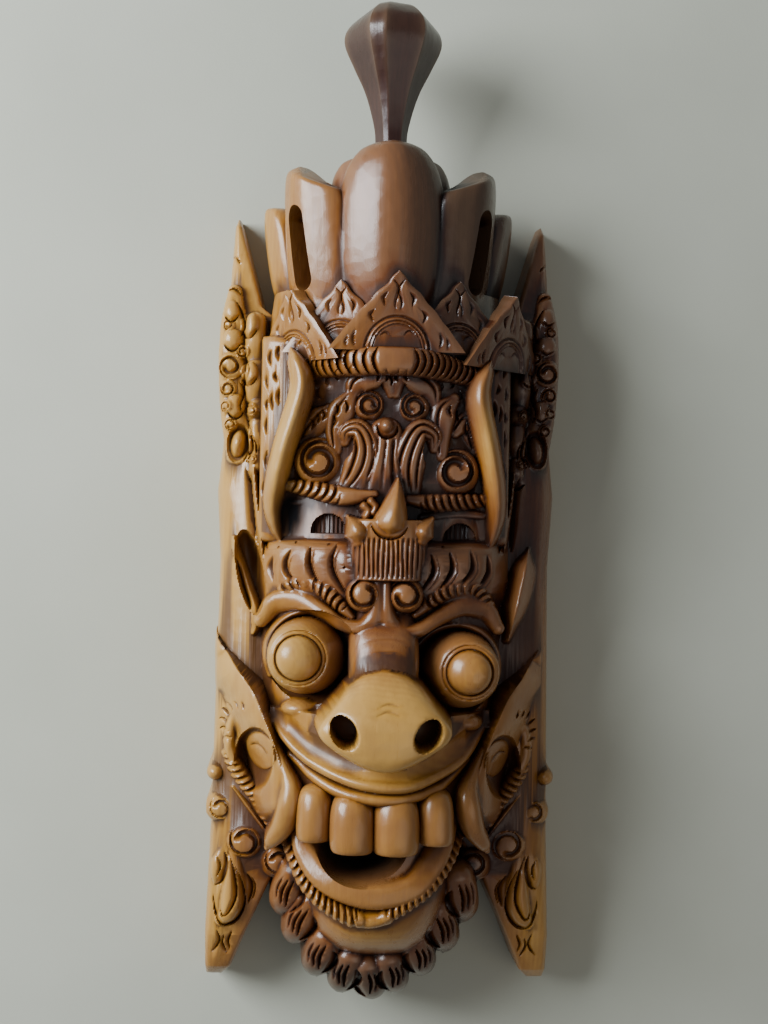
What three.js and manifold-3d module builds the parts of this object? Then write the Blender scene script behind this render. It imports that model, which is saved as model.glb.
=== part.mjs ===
// A carved wooden barong mask with a tall lobed crown, lying on its hollow back with the face up.
// Millimetres. X runs across the mask, Y from the beard to the crown, Z from the flat back to the nose.
import * as THREE from "three";
import { mergeVertices } from "three/addons/utils/BufferGeometryUtils.js";
import Module from "manifold-3d";

const wasm = await Module();
wasm.setup();

// Driving dimensions
const maskLength = 567; // tip of the beard to the top of the finial
const maskWidth = 198; // across the side boards at the legs
const rightSpread = 1.045; // the right board was left this much wider than the left one
const maskDepth = 150; // flat back to the tip of the snout
const wall = 27; // wood between the hollow of the back and the skin of the head, down the middle
const mouthWidth = 62;
const mouthHeight = 24;
const nostrilWidth = 11.5;
const nostrilDepth = 24;
const slotWidth = 13.5; // the slot pierced in each side petal of the crown
const slotLength = 45;
const pegDiameter = 15; // the finial's peg
const pegLength = 18;
const pegClearance = 0.3; // between the peg and its socket, and under the finial's foot
const finialWidth = 55;
const finialStem = 17; // stem width just above the crown

// The carving is laid out on a mask of this size, so its measures are shares of the three above.
const drawnLength = 567;
const drawnBoardReach = 96.5;
const drawnWidth = drawnBoardReach * (1 + rightSpread);
const drawnDepth = 150;
const acrossScale = maskWidth / drawnWidth;
const upScale = maskLength / drawnLength;
const outScale = maskDepth / drawnDepth;

const left = -1;
const right = 1;
const bothSides = [left, right];

// The finial and its peg stand on the crown's core.
const coreTop = 463;
const pegHeight = 50; // the peg's axis above the flat back

// The skin of the head at stations up the mask: [height, half width, depth at the middle, depth at the edge]
const headStations = [
  [26, 20, 46, 30],
  [40, 33, 80, 36],
  [60, 41, 98, 40],
  [85, 46, 99, 42],
  [105, 50, 98, 44],
  [130, 56, 104, 48],
  [160, 63, 100, 50],
  [200, 67, 93, 52],
  [240, 68, 95, 52],
  [268, 67, 90, 50],
  [300, 66, 87, 48],
  [345, 66, 88, 46],
  [372, 67, 94, 44],
  [402, 64, 86, 40],
];
const headRoundness = 2.6; // exponent of the section: 2 is an ellipse, more is squarer

// Cubic curve through the stations, in any column
function alongStations(stations, height, column) {
  const last = stations.length - 1;
  if (height <= stations[0][0]) return stations[0][column];
  if (height >= stations[last][0]) return stations[last][column];
  const i = stations.findIndex((s) => s[0] > height) - 1;
  const at = (k) => stations[Math.min(last, Math.max(0, k))];
  const [before, start, end, after] = [at(i - 1), at(i), at(i + 1), at(i + 2)];
  const span = end[0] - start[0];
  const t = (height - start[0]) / span;
  const slope = (a, b) => ((b[column] - a[column]) / (b[0] - a[0] || 1)) * span;
  const m0 = slope(before, end);
  const m1 = slope(start, after);
  const t2 = t * t;
  const t3 = t2 * t;
  return (
    (2 * t3 - 3 * t2 + 1) * start[column] +
    (t3 - 2 * t2 + t) * m0 +
    (3 * t2 - 2 * t3) * end[column] +
    (t3 - t2) * m1
  );
}

// Depth of the head's skin at a place across and up the mask
function skin(x, height) {
  const width = alongStations(headStations, height, 1);
  const middle = alongStations(headStations, height, 2);
  const edge = alongStations(headStations, height, 3);
  const share = Math.min(1, Math.abs(x) / width);
  return edge + (middle - edge) * Math.sqrt(1 - share ** headRoundness);
}

// A closed solid through rings of points, with a fan over each end
function loft(rings) {
  const count = rings[0].length;
  const positions = [];
  const faces = [];
  for (const ring of rings) for (const p of ring) positions.push(p.x, p.y, p.z);
  for (let j = 0; j + 1 < rings.length; j++)
    for (let i = 0; i < count; i++) {
      const a = j * count + i;
      const b = j * count + ((i + 1) % count);
      faces.push(a, b, b + count, a, b + count, a + count);
    }
  const cap = (ring, base, flip) => {
    const middle = ring.reduce((sum, p) => sum.add(p), new THREE.Vector3()).divideScalar(count);
    const centre = positions.length / 3;
    positions.push(middle.x, middle.y, middle.z);
    for (let i = 0; i < count; i++) {
      const a = base + i;
      const b = base + ((i + 1) % count);
      if (flip) faces.push(centre, a, b);
      else faces.push(centre, b, a);
    }
  };
  cap(rings[0], 0, false);
  cap(rings[rings.length - 1], (rings.length - 1) * count, true);
  const geometry = new THREE.BufferGeometry();
  geometry.setAttribute("position", new THREE.Float32BufferAttribute(positions, 3));
  geometry.setIndex(faces);
  return geometry;
}

// A manifold-3d solid from a geometry laid out in drawn measures
function solid(geometry, scaled = true) {
  const plain = geometry.clone();
  plain.deleteAttribute("normal");
  plain.deleteAttribute("uv");
  if (scaled) plain.scale(acrossScale, upScale, outScale);
  const merged = mergeVertices(plain, 1e-4);
  const made = new wasm.Manifold(
    new wasm.Mesh({
      numProp: 3,
      vertProperties: merged.attributes.position.array,
      triVerts: new Uint32Array(merged.index.array),
    }),
  );
  if (made.volume() > 0) return made;
  const faces = merged.index.array;
  for (let i = 0; i < faces.length; i += 3) [faces[i + 1], faces[i + 2]] = [faces[i + 2], faces[i + 1]];
  return new wasm.Manifold(
    new wasm.Mesh({
      numProp: 3,
      vertProperties: merged.attributes.position.array,
      triVerts: new Uint32Array(faces),
    }),
  );
}

// The outer skin of a solid, without the small pockets that overlapping forms leave inside the wood
function geometryOf(manifold) {
  const { vertProperties, triVerts } = manifold.getMesh();
  const leader = Array.from({ length: vertProperties.length / 3 }, (_, i) => i);
  const find = (i) => {
    while (leader[i] !== i) {
      leader[i] = leader[leader[i]];
      i = leader[i];
    }
    return i;
  };
  for (let i = 0; i < triVerts.length; i += 3) {
    leader[find(triVerts[i + 1])] = find(triVerts[i]);
    leader[find(triVerts[i + 2])] = find(triVerts[i]);
  }
  const sizes = new Map();
  for (const i of triVerts) sizes.set(find(i), (sizes.get(find(i)) ?? 0) + 1);
  const outer = [...sizes].sort((a, b) => b[1] - a[1])[0][0];
  const faces = [];
  for (let i = 0; i < triVerts.length; i += 3) {
    if (find(triVerts[i]) === outer) faces.push(triVerts[i], triVerts[i + 1], triVerts[i + 2]);
  }
  const geometry = new THREE.BufferGeometry();
  geometry.setAttribute("position", new THREE.BufferAttribute(new Float32Array(vertProperties), 3));
  geometry.setIndex(faces);
  return geometry;
}

const joinAll = (solids) => solids.reduce((whole, next) => whole.add(next));

// Roll of wood along a path of [x, height, depth, half width, half thickness]
function roll(path, steps, sides, swell = () => 1) {
  const curve = new THREE.CatmullRomCurve3(path.map(([x, y, z]) => new THREE.Vector3(x, y, z)));
  const rings = [];
  for (let j = 0; j <= steps; j++) {
    const t = j / steps;
    const centre = curve.getPoint(t);
    const tangent = curve.getTangent(t);
    const across = new THREE.Vector3(-tangent.y, tangent.x, 0).normalize();
    const place = t * (path.length - 1);
    const k = Math.min(path.length - 2, Math.floor(place));
    const halfWidth = THREE.MathUtils.lerp(path[k][3], path[k + 1][3], place - k) * swell(t);
    const halfThick = THREE.MathUtils.lerp(path[k][4], path[k + 1][4], place - k) * swell(t);
    const ring = [];
    for (let i = 0; i < sides; i++) {
      const turn = ((i + 0.5) / sides) * Math.PI * 2;
      ring.push(
        centre
          .clone()
          .addScaledVector(across, Math.cos(turn) * halfWidth)
          .add(new THREE.Vector3(0, 0, Math.sin(turn) * halfThick)),
      );
    }
    rings.push(ring);
  }
  return loft(rings);
}

// A roll with gouge cuts across it, which read as beads
function gougedRoll(path, beads, sides = 5) {
  const cutShare = 0.7; // width left in the bottom of a cut
  return roll(path, beads * 2, sides, (t) => (Math.round(t * beads * 2) % 2 ? 1 : cutShare));
}

function mirrored(path, side) {
  return path.map(([x, ...rest]) => [x * side, ...rest]);
}

function dome([x, height, depth], [acrossRadius, upRadius, outRadius], sides, rows) {
  const ball = new THREE.SphereGeometry(1, sides, rows);
  ball.rotateX(Math.PI / 2);
  ball.scale(acrossRadius, upRadius, outRadius);
  ball.translate(x, height, depth);
  return ball;
}

// A curl: a boss with a ring cut round its eye, in shares of its radius and rise. A small one is plain.
const curlProfile = [
  [0, -1],
  [1.05, -1],
  [0.78, 0.85],
  [0.5, 0.45],
  [0.3, 1.15],
  [0, 1.3],
];
const smallestRing = 7.5;
function curl(x, height, radius, rise, depth = skin(x, height)) {
  if (radius < smallestRing) return solid(dome([x, height, depth], [radius, radius, rise * 1.2], 6, 3));
  const boss = new THREE.LatheGeometry(
    curlProfile.map(([r, up]) => new THREE.Vector2(r * radius, up * rise)),
    7,
  );
  boss.rotateX(Math.PI / 2);
  boss.translate(x, height, depth);
  return solid(boss);
}

// Head: a D-shaped bar from the chin to the crown's foot, flat behind
function head() {
  const frontPoints = 8;
  const rings = headStations.map(([height]) => {
    const width = alongStations(headStations, height, 1);
    const ring = [new THREE.Vector3(width, height, 0), new THREE.Vector3(-width, height, 0)];
    for (let i = 0; i <= frontPoints; i++) {
      const x = -width * Math.cos((Math.PI * i) / frontPoints);
      ring.push(new THREE.Vector3(x, height, skin(x, height)));
    }
    return ring;
  });
  return solid(loft(rings));
}

// Side board, from the pointed tip beside the crown down to the leg beside the beard:
// [height, outer edge, inner edge, depth at the outer edge, depth at the inner edge]
const boardStations = [
  [9, 96, 87, 22, 24],
  [17, drawnBoardReach, 81, 32, 36],
  [38, 96, 73, 40, 46],
  [80, 94.5, 55, 40, 56],
  [100, 94, 42, 38, 60],
  [250, 92, 42, 34, 60],
  [290, 94.5, 42, 32, 56],
  [318, 92, 42, 30, 54],
  [388, 91, 62, 27, 46],
  [396, 91, 71, 26, 42],
  [444, 88.5, 84, 20, 26],
  [450, 87, 86, 16, 18],
];
const boardSpread = (side) => (side === right ? rightSpread : 1);
function sideBoard(side) {
  const shoulder = 0.42; // share of the board's width where its front turns down to the outer edge
  const rings = boardStations.map(([height, outer, inner, outerDepth, innerDepth]) => {
    const turn = outer - (outer - inner) * shoulder;
    const profile = [
      [inner, 0],
      [outer - 2, 0],
      [outer, outerDepth * 0.5],
      [outer - 0.5, outerDepth],
      [turn, innerDepth],
      [inner, innerDepth],
    ];
    return profile.map(([x, z]) => new THREE.Vector3(x * side * boardSpread(side), height, z));
  });
  return solid(loft(rings));
}

// Curls along the side board: [x, height, radius, depth of the ground under it]
const boardCurls = [
  [86, 107, 7, 46],
  [75, 93, 10.5, 52],
  [56, 83, 9, 58],
  [92, 126, 5.5, 36],
];
function curlsOfBoard(side) {
  return joinAll(
    boardCurls.map(([x, height, radius, depth]) =>
      curl(x * side * boardSpread(side), height, radius, radius * 0.75, depth),
    ),
  );
}

// Scroll carved down the upper half of the board
function boardScroll(side) {
  const path = [
    [85, 384, 34, 2, 5],
    [78, 372, 48, 3.6, 6],
    [84, 354, 44, 4.4, 8],
    [77, 336, 50, 3.6, 6],
    [84, 318, 44, 4.4, 8],
    [76, 300, 52, 3, 5],
  ];
  const spread = path.map(([x, ...rest]) => [x * boardSpread(side), ...rest]);
  return solid(roll(mirrored(spread, side), 8, 4));
}

// Ear: a raised rim round a hollow, its tip up
function ear(side) {
  const rim = [
    [76, 264, 52, 2, 10],
    [81.5, 250, 52, 4, 15],
    [80, 226, 56, 5, 17],
    [73, 204, 62, 5, 16],
    [65, 190, 68, 4, 14],
  ];
  return solid(roll(mirrored(rim, side), 5, 4));
}
function earHollow(side) {
  return solid(dome([71 * side, 230, 72], [6.5, 30, 16], 6, 4));
}

// Blade-edged flap from behind the eye down to the fang
function cheekFlap(side) {
  const edge = [
    [88, 199, 52, 2, 6],
    [80, 191, 62, 4, 12],
    [69, 180, 72, 4.5, 15],
    [59, 155, 78, 4.5, 14],
    [52, 131, 84, 4, 11],
    [48, 117, 86, 3, 8],
  ];
  return solid(roll(mirrored(edge, side), 5, 4));
}

// Gouged roll that bounds the cheek below the ear
function cheekRoll(side) {
  const path = [
    [86, 142, 48, 4, 7],
    [82, 128, 54, 4, 7],
    [72, 114, 60, 4, 7],
    [60, 100, 66, 4, 7],
    [54, 92, 68, 4, 7],
  ];
  return solid(gougedRoll(mirrored(path, side), 5, 4));
}

// Horn: the smooth curved flap that stands beside the forehead panel
function horn(side) {
  const path = [
    [49, 367, 86, 1.5, 8],
    [51, 360, 84, 5, 14],
    [50.5, 339, 84, 6.8, 17],
    [55, 312, 80, 7.2, 17],
    [58.5, 288, 76, 6.5, 15],
    [57, 268, 74, 5, 12],
    [55, 260, 74, 2.5, 9],
  ];
  return solid(roll(mirrored(path, side), 6, 5));
}

// Crown
const crownAxisDepth = 34; // the crown's petals stand round an axis this far above the back
function crownCore() {
  const radius = 52;
  const foot = 386;
  const sides = 10;
  const barrel = [
    [foot, 0.98],
    [foot + 20, 1.04],
    [foot + 60, 1],
    [coreTop, 0.8],
  ];
  const rings = barrel.map(([height, share]) => {
    const ring = [
      new THREE.Vector3(radius * share, height, 0),
      new THREE.Vector3(-radius * share, height, 0),
    ];
    for (let i = 0; i <= sides; i++) {
      const turn = Math.PI - (Math.PI * i) / sides;
      ring.push(
        new THREE.Vector3(
          Math.cos(turn) * radius * share,
          height,
          crownAxisDepth + Math.sin(turn) * radius * share,
        ),
      );
    }
    return ring;
  });
  return solid(loft(rings));
}

// Petals: [turn from the front in degrees, distance from the axis, half width, foot, top, bulge, thickness,
// how far the top leans out, how much higher its outer corner stands, roundness of its top]
const crownPetals = [
  [0, 56, 29.5, 394, 480.5, 15, 12, 2, 0, 1],
  [-46, 57, 24, 386, 463, 9, 12, 7, 6, 0.3],
  [46, 57, 24, 386, 463, 9, 12, 7, 6, 0.3],
  [-25, 41, 20, 400, 475, 7, 9, 3, 0, 1],
  [25, 41, 20, 400, 475, 7, 9, 3, 0, 1],
  [-84, 60, 19, 380, 452, 6, 9, 8, 0, 1],
  [84, 60, 19, 380, 452, 6, 9, 8, 0, 1],
];
// Half width of a petal at a share of its height, as a share of its widest place
const petalStations = [
  [0, 0.8],
  [0.35, 0.97],
  [0.66, 0.98],
  [0.85, 0.77],
  [0.95, 0.44],
  [1, 0.1],
];
function petal([turnDegrees, reach, halfWidth, foot, top, bulge, thickness, flare, corner, roundness]) {
  const acrossPoints = 4;
  const turn = THREE.MathUtils.degToRad(turnDegrees);
  const out = new THREE.Vector3(Math.sin(turn), 0, Math.cos(turn));
  const along = new THREE.Vector3(Math.cos(turn), 0, -Math.sin(turn));
  const rings = petalStations.map(([share, rounded]) => {
    const widthShare = rounded ** roundness;
    const height = foot + (top - foot) * share;
    const width = halfWidth * widthShare;
    const distance = reach + flare * share * share;
    const rise = corner * Math.sign(turn) * share * share;
    const at = (s, depth) =>
      new THREE.Vector3(0, height + s * rise, crownAxisDepth)
        .addScaledVector(out, distance + depth)
        .addScaledVector(along, s * width);
    const ring = [];
    for (let i = 0; i <= acrossPoints; i++) {
      const s = -1 + (2 * i) / acrossPoints;
      ring.push(at(s, bulge * widthShare * (1 - s * s)));
    }
    ring.push(at(0.6, -thickness), at(-0.6, -thickness));
    return ring;
  });
  return solid(loft(rings));
}

// The slot pierced through each side petal, into the hollow behind the crown
function crownSlot(side) {
  const turn = THREE.MathUtils.degToRad(47) * side;
  const lean = THREE.MathUtils.degToRad(-6) * side;
  const half = slotWidth / 2 / acrossScale;
  const straight = slotLength / 2 / upScale - half;
  const outline = new THREE.Shape();
  outline.absarc(0, straight, half, 0, Math.PI);
  outline.absarc(0, -straight, half, Math.PI, Math.PI * 2);
  const reach = 64;
  const cut = new THREE.ExtrudeGeometry(outline, { depth: reach, bevelEnabled: false, curveSegments: 3 });
  cut.rotateZ(lean);
  cut.translate(0, 0, 20);
  cut.rotateY(turn);
  cut.translate(0, 423, crownAxisDepth - 2);
  return solid(cut);
}

// Pointed leaves in front of the petals:
// [apex x, apex height, foot, half width of the foot, depth, thickness, turn in degrees, lean out]
const crownLeaves = [
  [4, 408, 366, 31, 100, 8, 4, 5],
  [-25, 405, 366, 20, 90, 9, -18, 2],
  [37, 405, 366, 20, 88, 9, 22, 2],
  [-57, 400, 361, 27, 77, 9, -50, 6],
  [63, 399, 359, 27, 76, 9, 50, 6],
];
function crownLeaf([x, apex, foot, halfWidth, depth, thickness, turnDegrees, lean]) {
  const outline = new THREE.Shape();
  outline.moveTo(-halfWidth, foot - apex);
  outline.quadraticCurveTo(-halfWidth * 0.42, (foot - apex) * 0.62, 0, 0);
  outline.quadraticCurveTo(halfWidth * 0.42, (foot - apex) * 0.62, halfWidth, foot - apex);
  const leaf = new THREE.ExtrudeGeometry(outline, {
    depth: thickness,
    bevelEnabled: false,
    curveSegments: 2,
  });
  leaf.translate(0, apex - foot, -thickness);
  leaf.rotateX(Math.atan2(lean, apex - foot));
  leaf.rotateY(THREE.MathUtils.degToRad(turnDegrees));
  leaf.translate(x, foot, depth);
  return solid(leaf);
}

// Arch carved on a crown leaf, as a raised roll
function leafArch([x, apex, foot, halfWidth, depth, , turnDegrees, lean]) {
  const radius = halfWidth * 0.56;
  const path = [];
  const points = 5;
  for (let i = 0; i < points; i++) {
    const angle = (Math.PI * i) / (points - 1);
    path.push([Math.cos(angle) * radius, Math.sin(angle) * radius * 1.1, 0.5, 1.8, 2.4]);
  }
  const arch = roll(path, 5, 4);
  arch.rotateX(Math.atan2(lean, apex - foot));
  arch.rotateY(THREE.MathUtils.degToRad(turnDegrees));
  arch.translate(x, foot + 1, depth);
  return solid(arch);
}

// Gouged band under the crown leaves
function crownBand() {
  const path = [
    [-44, 358, 86, 5, 6],
    [-30, 361, 93, 6.5, 8],
    [4, 362, 98, 6.5, 9],
    [34, 360, 94, 6.5, 8],
    [50, 355, 84, 5, 6],
  ];
  return solid(gougedRoll(path, 10, 4));
}

// Forehead panel: curls, stem and fronds about its own middle, which the carver set a little to one side
const panelMiddle = 3.8;
// Fronds: paths of [x from the middle, height, half width]
const panelFronds = [
  [[9, 292, 2.6], [14, 308, 3.8], [21, 321, 3.6], [30, 318, 2]],
  [[24, 320, 3.2], [30, 332, 4.2], [18, 347, 2.4]],
];
function foreheadPanel() {
  const rise = 4.5;
  const parts = [
    curl(panelMiddle - 11, 338, 9.5, 5.5),
    curl(panelMiddle + 11, 338, 9.5, 5.5),
    curl(panelMiddle - 41, 307, 13.5, 7),
    curl(panelMiddle + 34, 304, 12.5, 7),
    solid(dome([panelMiddle, 325, skin(0, 325)], [3.8, 3.8, 8], 6, 3)),
    solid(
      roll(
        [
          [panelMiddle, 321, 86, 9, 6],
          [panelMiddle - 1, 309, 87, 7.5, 8],
          [panelMiddle - 2, 292, 87, 11, 7],
        ],
        2,
        6,
      ),
    ),
  ];
  for (const side of bothSides)
    for (const frond of panelFronds) {
      const path = frond.map(([x, height, halfWidth]) => {
        const place = panelMiddle + x * side;
        return [place, height, skin(place, height), halfWidth, rise];
      });
      parts.push(solid(roll(path, frond.length, 4)));
    }
  return joinAll(parts);
}

// Gouged bands that meet behind the flower, and the swelling of hair under them
function foreheadBands() {
  const parts = bothSides.map((side) =>
    solid(
      gougedRoll(
        mirrored(
          [
            [54, 292, 76, 4.5, 8],
            [38, 288, 83, 5, 8],
            [20, 284, 88, 5, 8],
            [8, 281, 90, 4, 6],
          ],
          side,
        ),
        5,
        4,
      ),
    ),
  );
  const hair = [
    [-61, 250, 72, 14, 14],
    [-36, 253, 87, 15, 13],
    [0, 254, 92, 15, 13],
    [36, 253, 87, 15, 13],
    [61, 250, 72, 14, 14],
  ];
  parts.push(solid(roll(hair, 6, 4)));
  return joinAll(parts);
}

// Flower and tuft between the brows
const flowerMiddle = 4;
function flower() {
  const bud = roll(
    [
      [flowerMiddle + 1, 299, 106, 0.6, 1],
      [flowerMiddle + 1, 290, 108, 4.5, 6],
      [flowerMiddle, 277, 110, 8.8, 11],
      [flowerMiddle, 268, 108, 6.5, 10],
      [flowerMiddle, 264, 104, 2, 5],
    ],
    5,
    6,
  );
  const parts = [solid(bud)];
  for (const side of bothSides) {
    parts.push(solid(dome([flowerMiddle + 17 * side, 272, 100], [7.5, 8.5, 12], 6, 4)));
  }
  const tuft = [
    [2, 272, 98, 17, 8],
    [2, 262, 101, 20.5, 12],
    [2, 252, 102, 20, 12],
    [2, 243, 102, 17.5, 9],
  ];
  parts.push(solid(roll(tuft, 4, 6)));
  return joinAll(parts);
}

// Brow ridge that ends in a curl beside the nose, with a gouged roll above it
function brow(side) {
  const ridge = [
    [4, 224, 100, 3, 6],
    [13, 226, 102, 4, 7],
    [22, 226, 100, 4, 7],
    [33, 231.5, 94, 4, 7],
    [46, 232.5, 86, 4, 7],
    [58, 225, 78, 4, 6],
    [65, 211, 72, 3, 5],
  ];
  const above = [
    [16, 229, 92, 4.5, 7],
    [26, 237, 90, 5.5, 8],
    [41, 241.5, 84, 5.5, 8],
    [54, 236, 76, 5, 7],
    [62, 226, 70, 4, 6],
  ];
  return solid(roll(mirrored(ridge, side), 8, 4))
    .add(solid(gougedRoll(mirrored(above, side), 5, 4)))
    .add(curl(10 * side, 236, 8.6, 9, 102));
}

// Eye: rings turned about an axis that looks outward. [radius, distance along the axis]
const eyeProfile = [
  [0, -14],
  [24.5, -14],
  [24.5, 2.5],
  [21, 3.5],
  [19, 9.5],
  [14.8, 15.5],
  [14, 18.4],
  [12.4, 17.4],
  [8.6, 22.6],
  [0, 25],
];
const eyeOutward = 13; // degrees
const eyeHeights = { [left]: 203.5, [right]: 197.5 }; // the two eyes aren't level
function eye(side) {
  const turned = new THREE.LatheGeometry(
    eyeProfile.map(([r, along]) => new THREE.Vector2(r, along)),
    9,
  );
  turned.rotateX(Math.PI / 2);
  turned.rotateY(THREE.MathUtils.degToRad(eyeOutward) * side);
  turned.translate(41 * side, eyeHeights[side], 88);
  return solid(turned);
}

// Bag of the cheek under the eye
function cheekBag(side) {
  return solid(dome([44 * side, eyeHeights[side] - 32, 84], [15, 9, 13], 8, 3));
}

// Nose: bridge, and snout as [height, half width, depth] with a squarish section
const snoutStations = [
  [199, 8, 121],
  [193, 15, 130],
  [185, 20.5, 139],
  [177, 26, 146],
  [169, 32, 149.6],
  [162, 33.5, 150],
  [155, 29, 148],
  [150, 20, 145],
  [146.5, 9, 140],
];
function nose() {
  const foot = 92;
  const sides = 10;
  const bridge = roll(
    [
      [1, 232, 90, 15, 14],
      [1, 215, 92, 19, 18],
      [1, 196, 98, 20, 20],
      [1, 182, 102, 20, 22],
    ],
    4,
    8,
  );
  const rings = snoutStations.map(([height, halfWidth, depth]) => {
    const ring = [new THREE.Vector3(halfWidth, height, foot), new THREE.Vector3(-halfWidth, height, foot)];
    for (let i = 1; i < sides; i++) {
      const turn = Math.PI - (Math.PI * i) / sides;
      const square = 0.72; // under 1 squares the section
      const reach = Math.sign(Math.cos(turn)) * Math.abs(Math.cos(turn)) ** square;
      ring.push(
        new THREE.Vector3(
          1 + reach * halfWidth,
          height,
          foot + 12 + (depth - foot - 12) * Math.sin(turn) ** square,
        ),
      );
    }
    return ring;
  });
  return solid(bridge).add(solid(loft(rings)));
}
function nostril(side) {
  const radius = nostrilWidth / 2 / acrossScale;
  const depth = nostrilDepth / outScale;
  const hole = new THREE.CylinderGeometry(radius, radius * 0.6, depth * 2, 7);
  hole.rotateX(Math.PI / 2);
  hole.scale(1, 1.35, 1);
  hole.rotateZ(THREE.MathUtils.degToRad(-14) * side);
  hole.rotateY(THREE.MathUtils.degToRad(12) * side);
  hole.translate(22.5 * side + 1, 167, 148);
  return solid(hole);
}

// Mouth: lips, gum, teeth and fangs
function upperLip() {
  const upper = [
    [-56, 163, 76, 3, 5],
    [-42, 149, 92, 6, 9],
    [-22, 140, 104, 7, 11],
    [0, 136, 110, 7.5, 12],
    [22, 140, 104, 7, 11],
    [42, 149, 92, 6, 9],
    [57, 163, 76, 3, 5],
  ];
  const lower = [
    [-47, 143, 82, 3, 6],
    [-33, 135, 94, 4.5, 9],
    [-16, 129.5, 102, 5, 11],
    [0, 128, 106, 5, 12],
    [16, 129.5, 102, 5, 11],
    [33, 135, 94, 4.5, 9],
    [47, 143, 82, 3, 6],
  ];
  return solid(roll(upper, 8, 4)).add(solid(roll(lower, 8, 4)));
}
// [x, top, bottom, half width, depth of the front]
const teeth = [
  [-34, 132, 103, 8.6, 110],
  [-14.5, 130, 98.5, 11.2, 118],
  [9, 130, 98, 11.6, 118.5],
  [30, 132, 101.5, 9.2, 112],
];
function tooth([x, top, bottom, halfWidth, front]) {
  const thick = 13;
  const crownShape = [
    [top, 0.6, 0.65],
    [top - 6, 0.97, 0.97],
    [bottom + 7, 1, 1],
    [bottom + 1.5, 0.88, 0.8],
    [bottom, 0.6, 0.5],
  ];
  const sides = 6;
  const rings = crownShape.map(([height, widthShare, thickShare]) => {
    const ring = [];
    for (let i = 0; i < sides; i++) {
      const turn = ((i + 0.5) / sides) * Math.PI * 2;
      const square = (v) => Math.sign(v) * Math.abs(v) ** 0.7;
      ring.push(
        new THREE.Vector3(
          x + square(Math.cos(turn)) * halfWidth * widthShare,
          height,
          front - thick + square(Math.sin(turn)) * thick * thickShare,
        ),
      );
    }
    return ring;
  });
  return solid(loft(rings));
}
function fang(side) {
  const path = [
    [45, 137, 88, 5, 8],
    [47, 124, 92, 7, 9],
    [52, 110, 90, 6.5, 8],
    [57, 99, 85, 4.5, 6],
    [59, 94.5, 82, 2, 3],
  ];
  return solid(roll(mirrored(path, side), 6, 6));
}
function lowerLip() {
  const path = [
    [-44, 104, 78, 5, 8],
    [-39, 88, 86, 6.5, 9],
    [-22, 77, 95, 7, 10],
    [0, 74, 99, 7.5, 10],
    [22, 77, 95, 7, 10],
    [39, 88, 86, 6.5, 9],
    [44, 104, 78, 5, 8],
  ];
  return solid(roll(path, 8, 4));
}
function mouthOpening() {
  const half = mouthWidth / 2 / acrossScale;
  const drop = mouthHeight / upScale;
  const lipLine = 107;
  const outline = new THREE.Shape();
  outline.moveTo(-half, lipLine);
  outline.bezierCurveTo(-half * 0.9, lipLine - drop * 0.7, -half * 0.5, lipLine - drop, 0, lipLine - drop);
  outline.bezierCurveTo(half * 0.5, lipLine - drop, half * 0.9, lipLine - drop * 0.7, half, lipLine);
  const cut = new THREE.ExtrudeGeometry(outline, { depth: 120, bevelEnabled: false, curveSegments: 4 });
  cut.translate(-1, 0, 30);
  return solid(cut);
}
function chinRoll(side) {
  const path = [
    [50, 100, 68, 3.5, 7],
    [46, 86, 78, 4, 7],
    [34, 73, 88, 4.2, 7],
    [18, 66, 95, 4.2, 7],
    [6, 64, 97, 4, 6],
  ];
  return solid(gougedRoll(mirrored(path, side), 5, 4));
}

// Beard: a fan of leaves round the chin. [tip x, tip height, half width, tilt from straight down in degrees]
const beardLeaves = [
  [0, 0, 9.5, 0],
  [19, 4, 9.5, 16],
  [34, 13, 9.5, 30],
  [46.5, 28, 9.5, 42],
  [54.5, 45, 9, 54],
  [58, 63, 8.5, 66],
];
const leafLength = 34;
function beardLeaf([tipX, tipHeight, halfWidth, tiltDegrees], side) {
  const back = 30;
  const stations = [
    [0, 0.35, 48],
    [0.3, 1, 59],
    [1, 0.75, 66],
  ];
  const rings = stations.map(([share, widthShare, front]) => {
    const half = halfWidth * widthShare;
    const y = leafLength * share;
    return [
      new THREE.Vector3(-half, y, back),
      new THREE.Vector3(half, y, back),
      new THREE.Vector3(half, y, front - 9),
      new THREE.Vector3(0, y, front),
      new THREE.Vector3(-half, y, front - 9),
    ];
  });
  const leaf = loft(rings);
  leaf.rotateZ(THREE.MathUtils.degToRad(tiltDegrees) * side);
  leaf.translate(tipX * side, tipHeight, 0);
  return solid(leaf);
}
function beard() {
  const parts = [];
  for (const side of bothSides) {
    const leaves = side === left ? beardLeaves : beardLeaves.slice(1);
    for (const leaf of leaves) parts.push(beardLeaf(leaf, side));
  }
  return joinAll(parts);
}

// Leaf carved down each leg
function legLeaf(side) {
  const outer = [
    [84, 84, 52, 3, 5],
    [87, 66, 50, 4, 6],
    [84, 46, 48, 4.5, 6],
    [77, 50, 48, 3, 5],
  ];
  return solid(roll(mirrored(outer, side), 5, 4));
}

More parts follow.
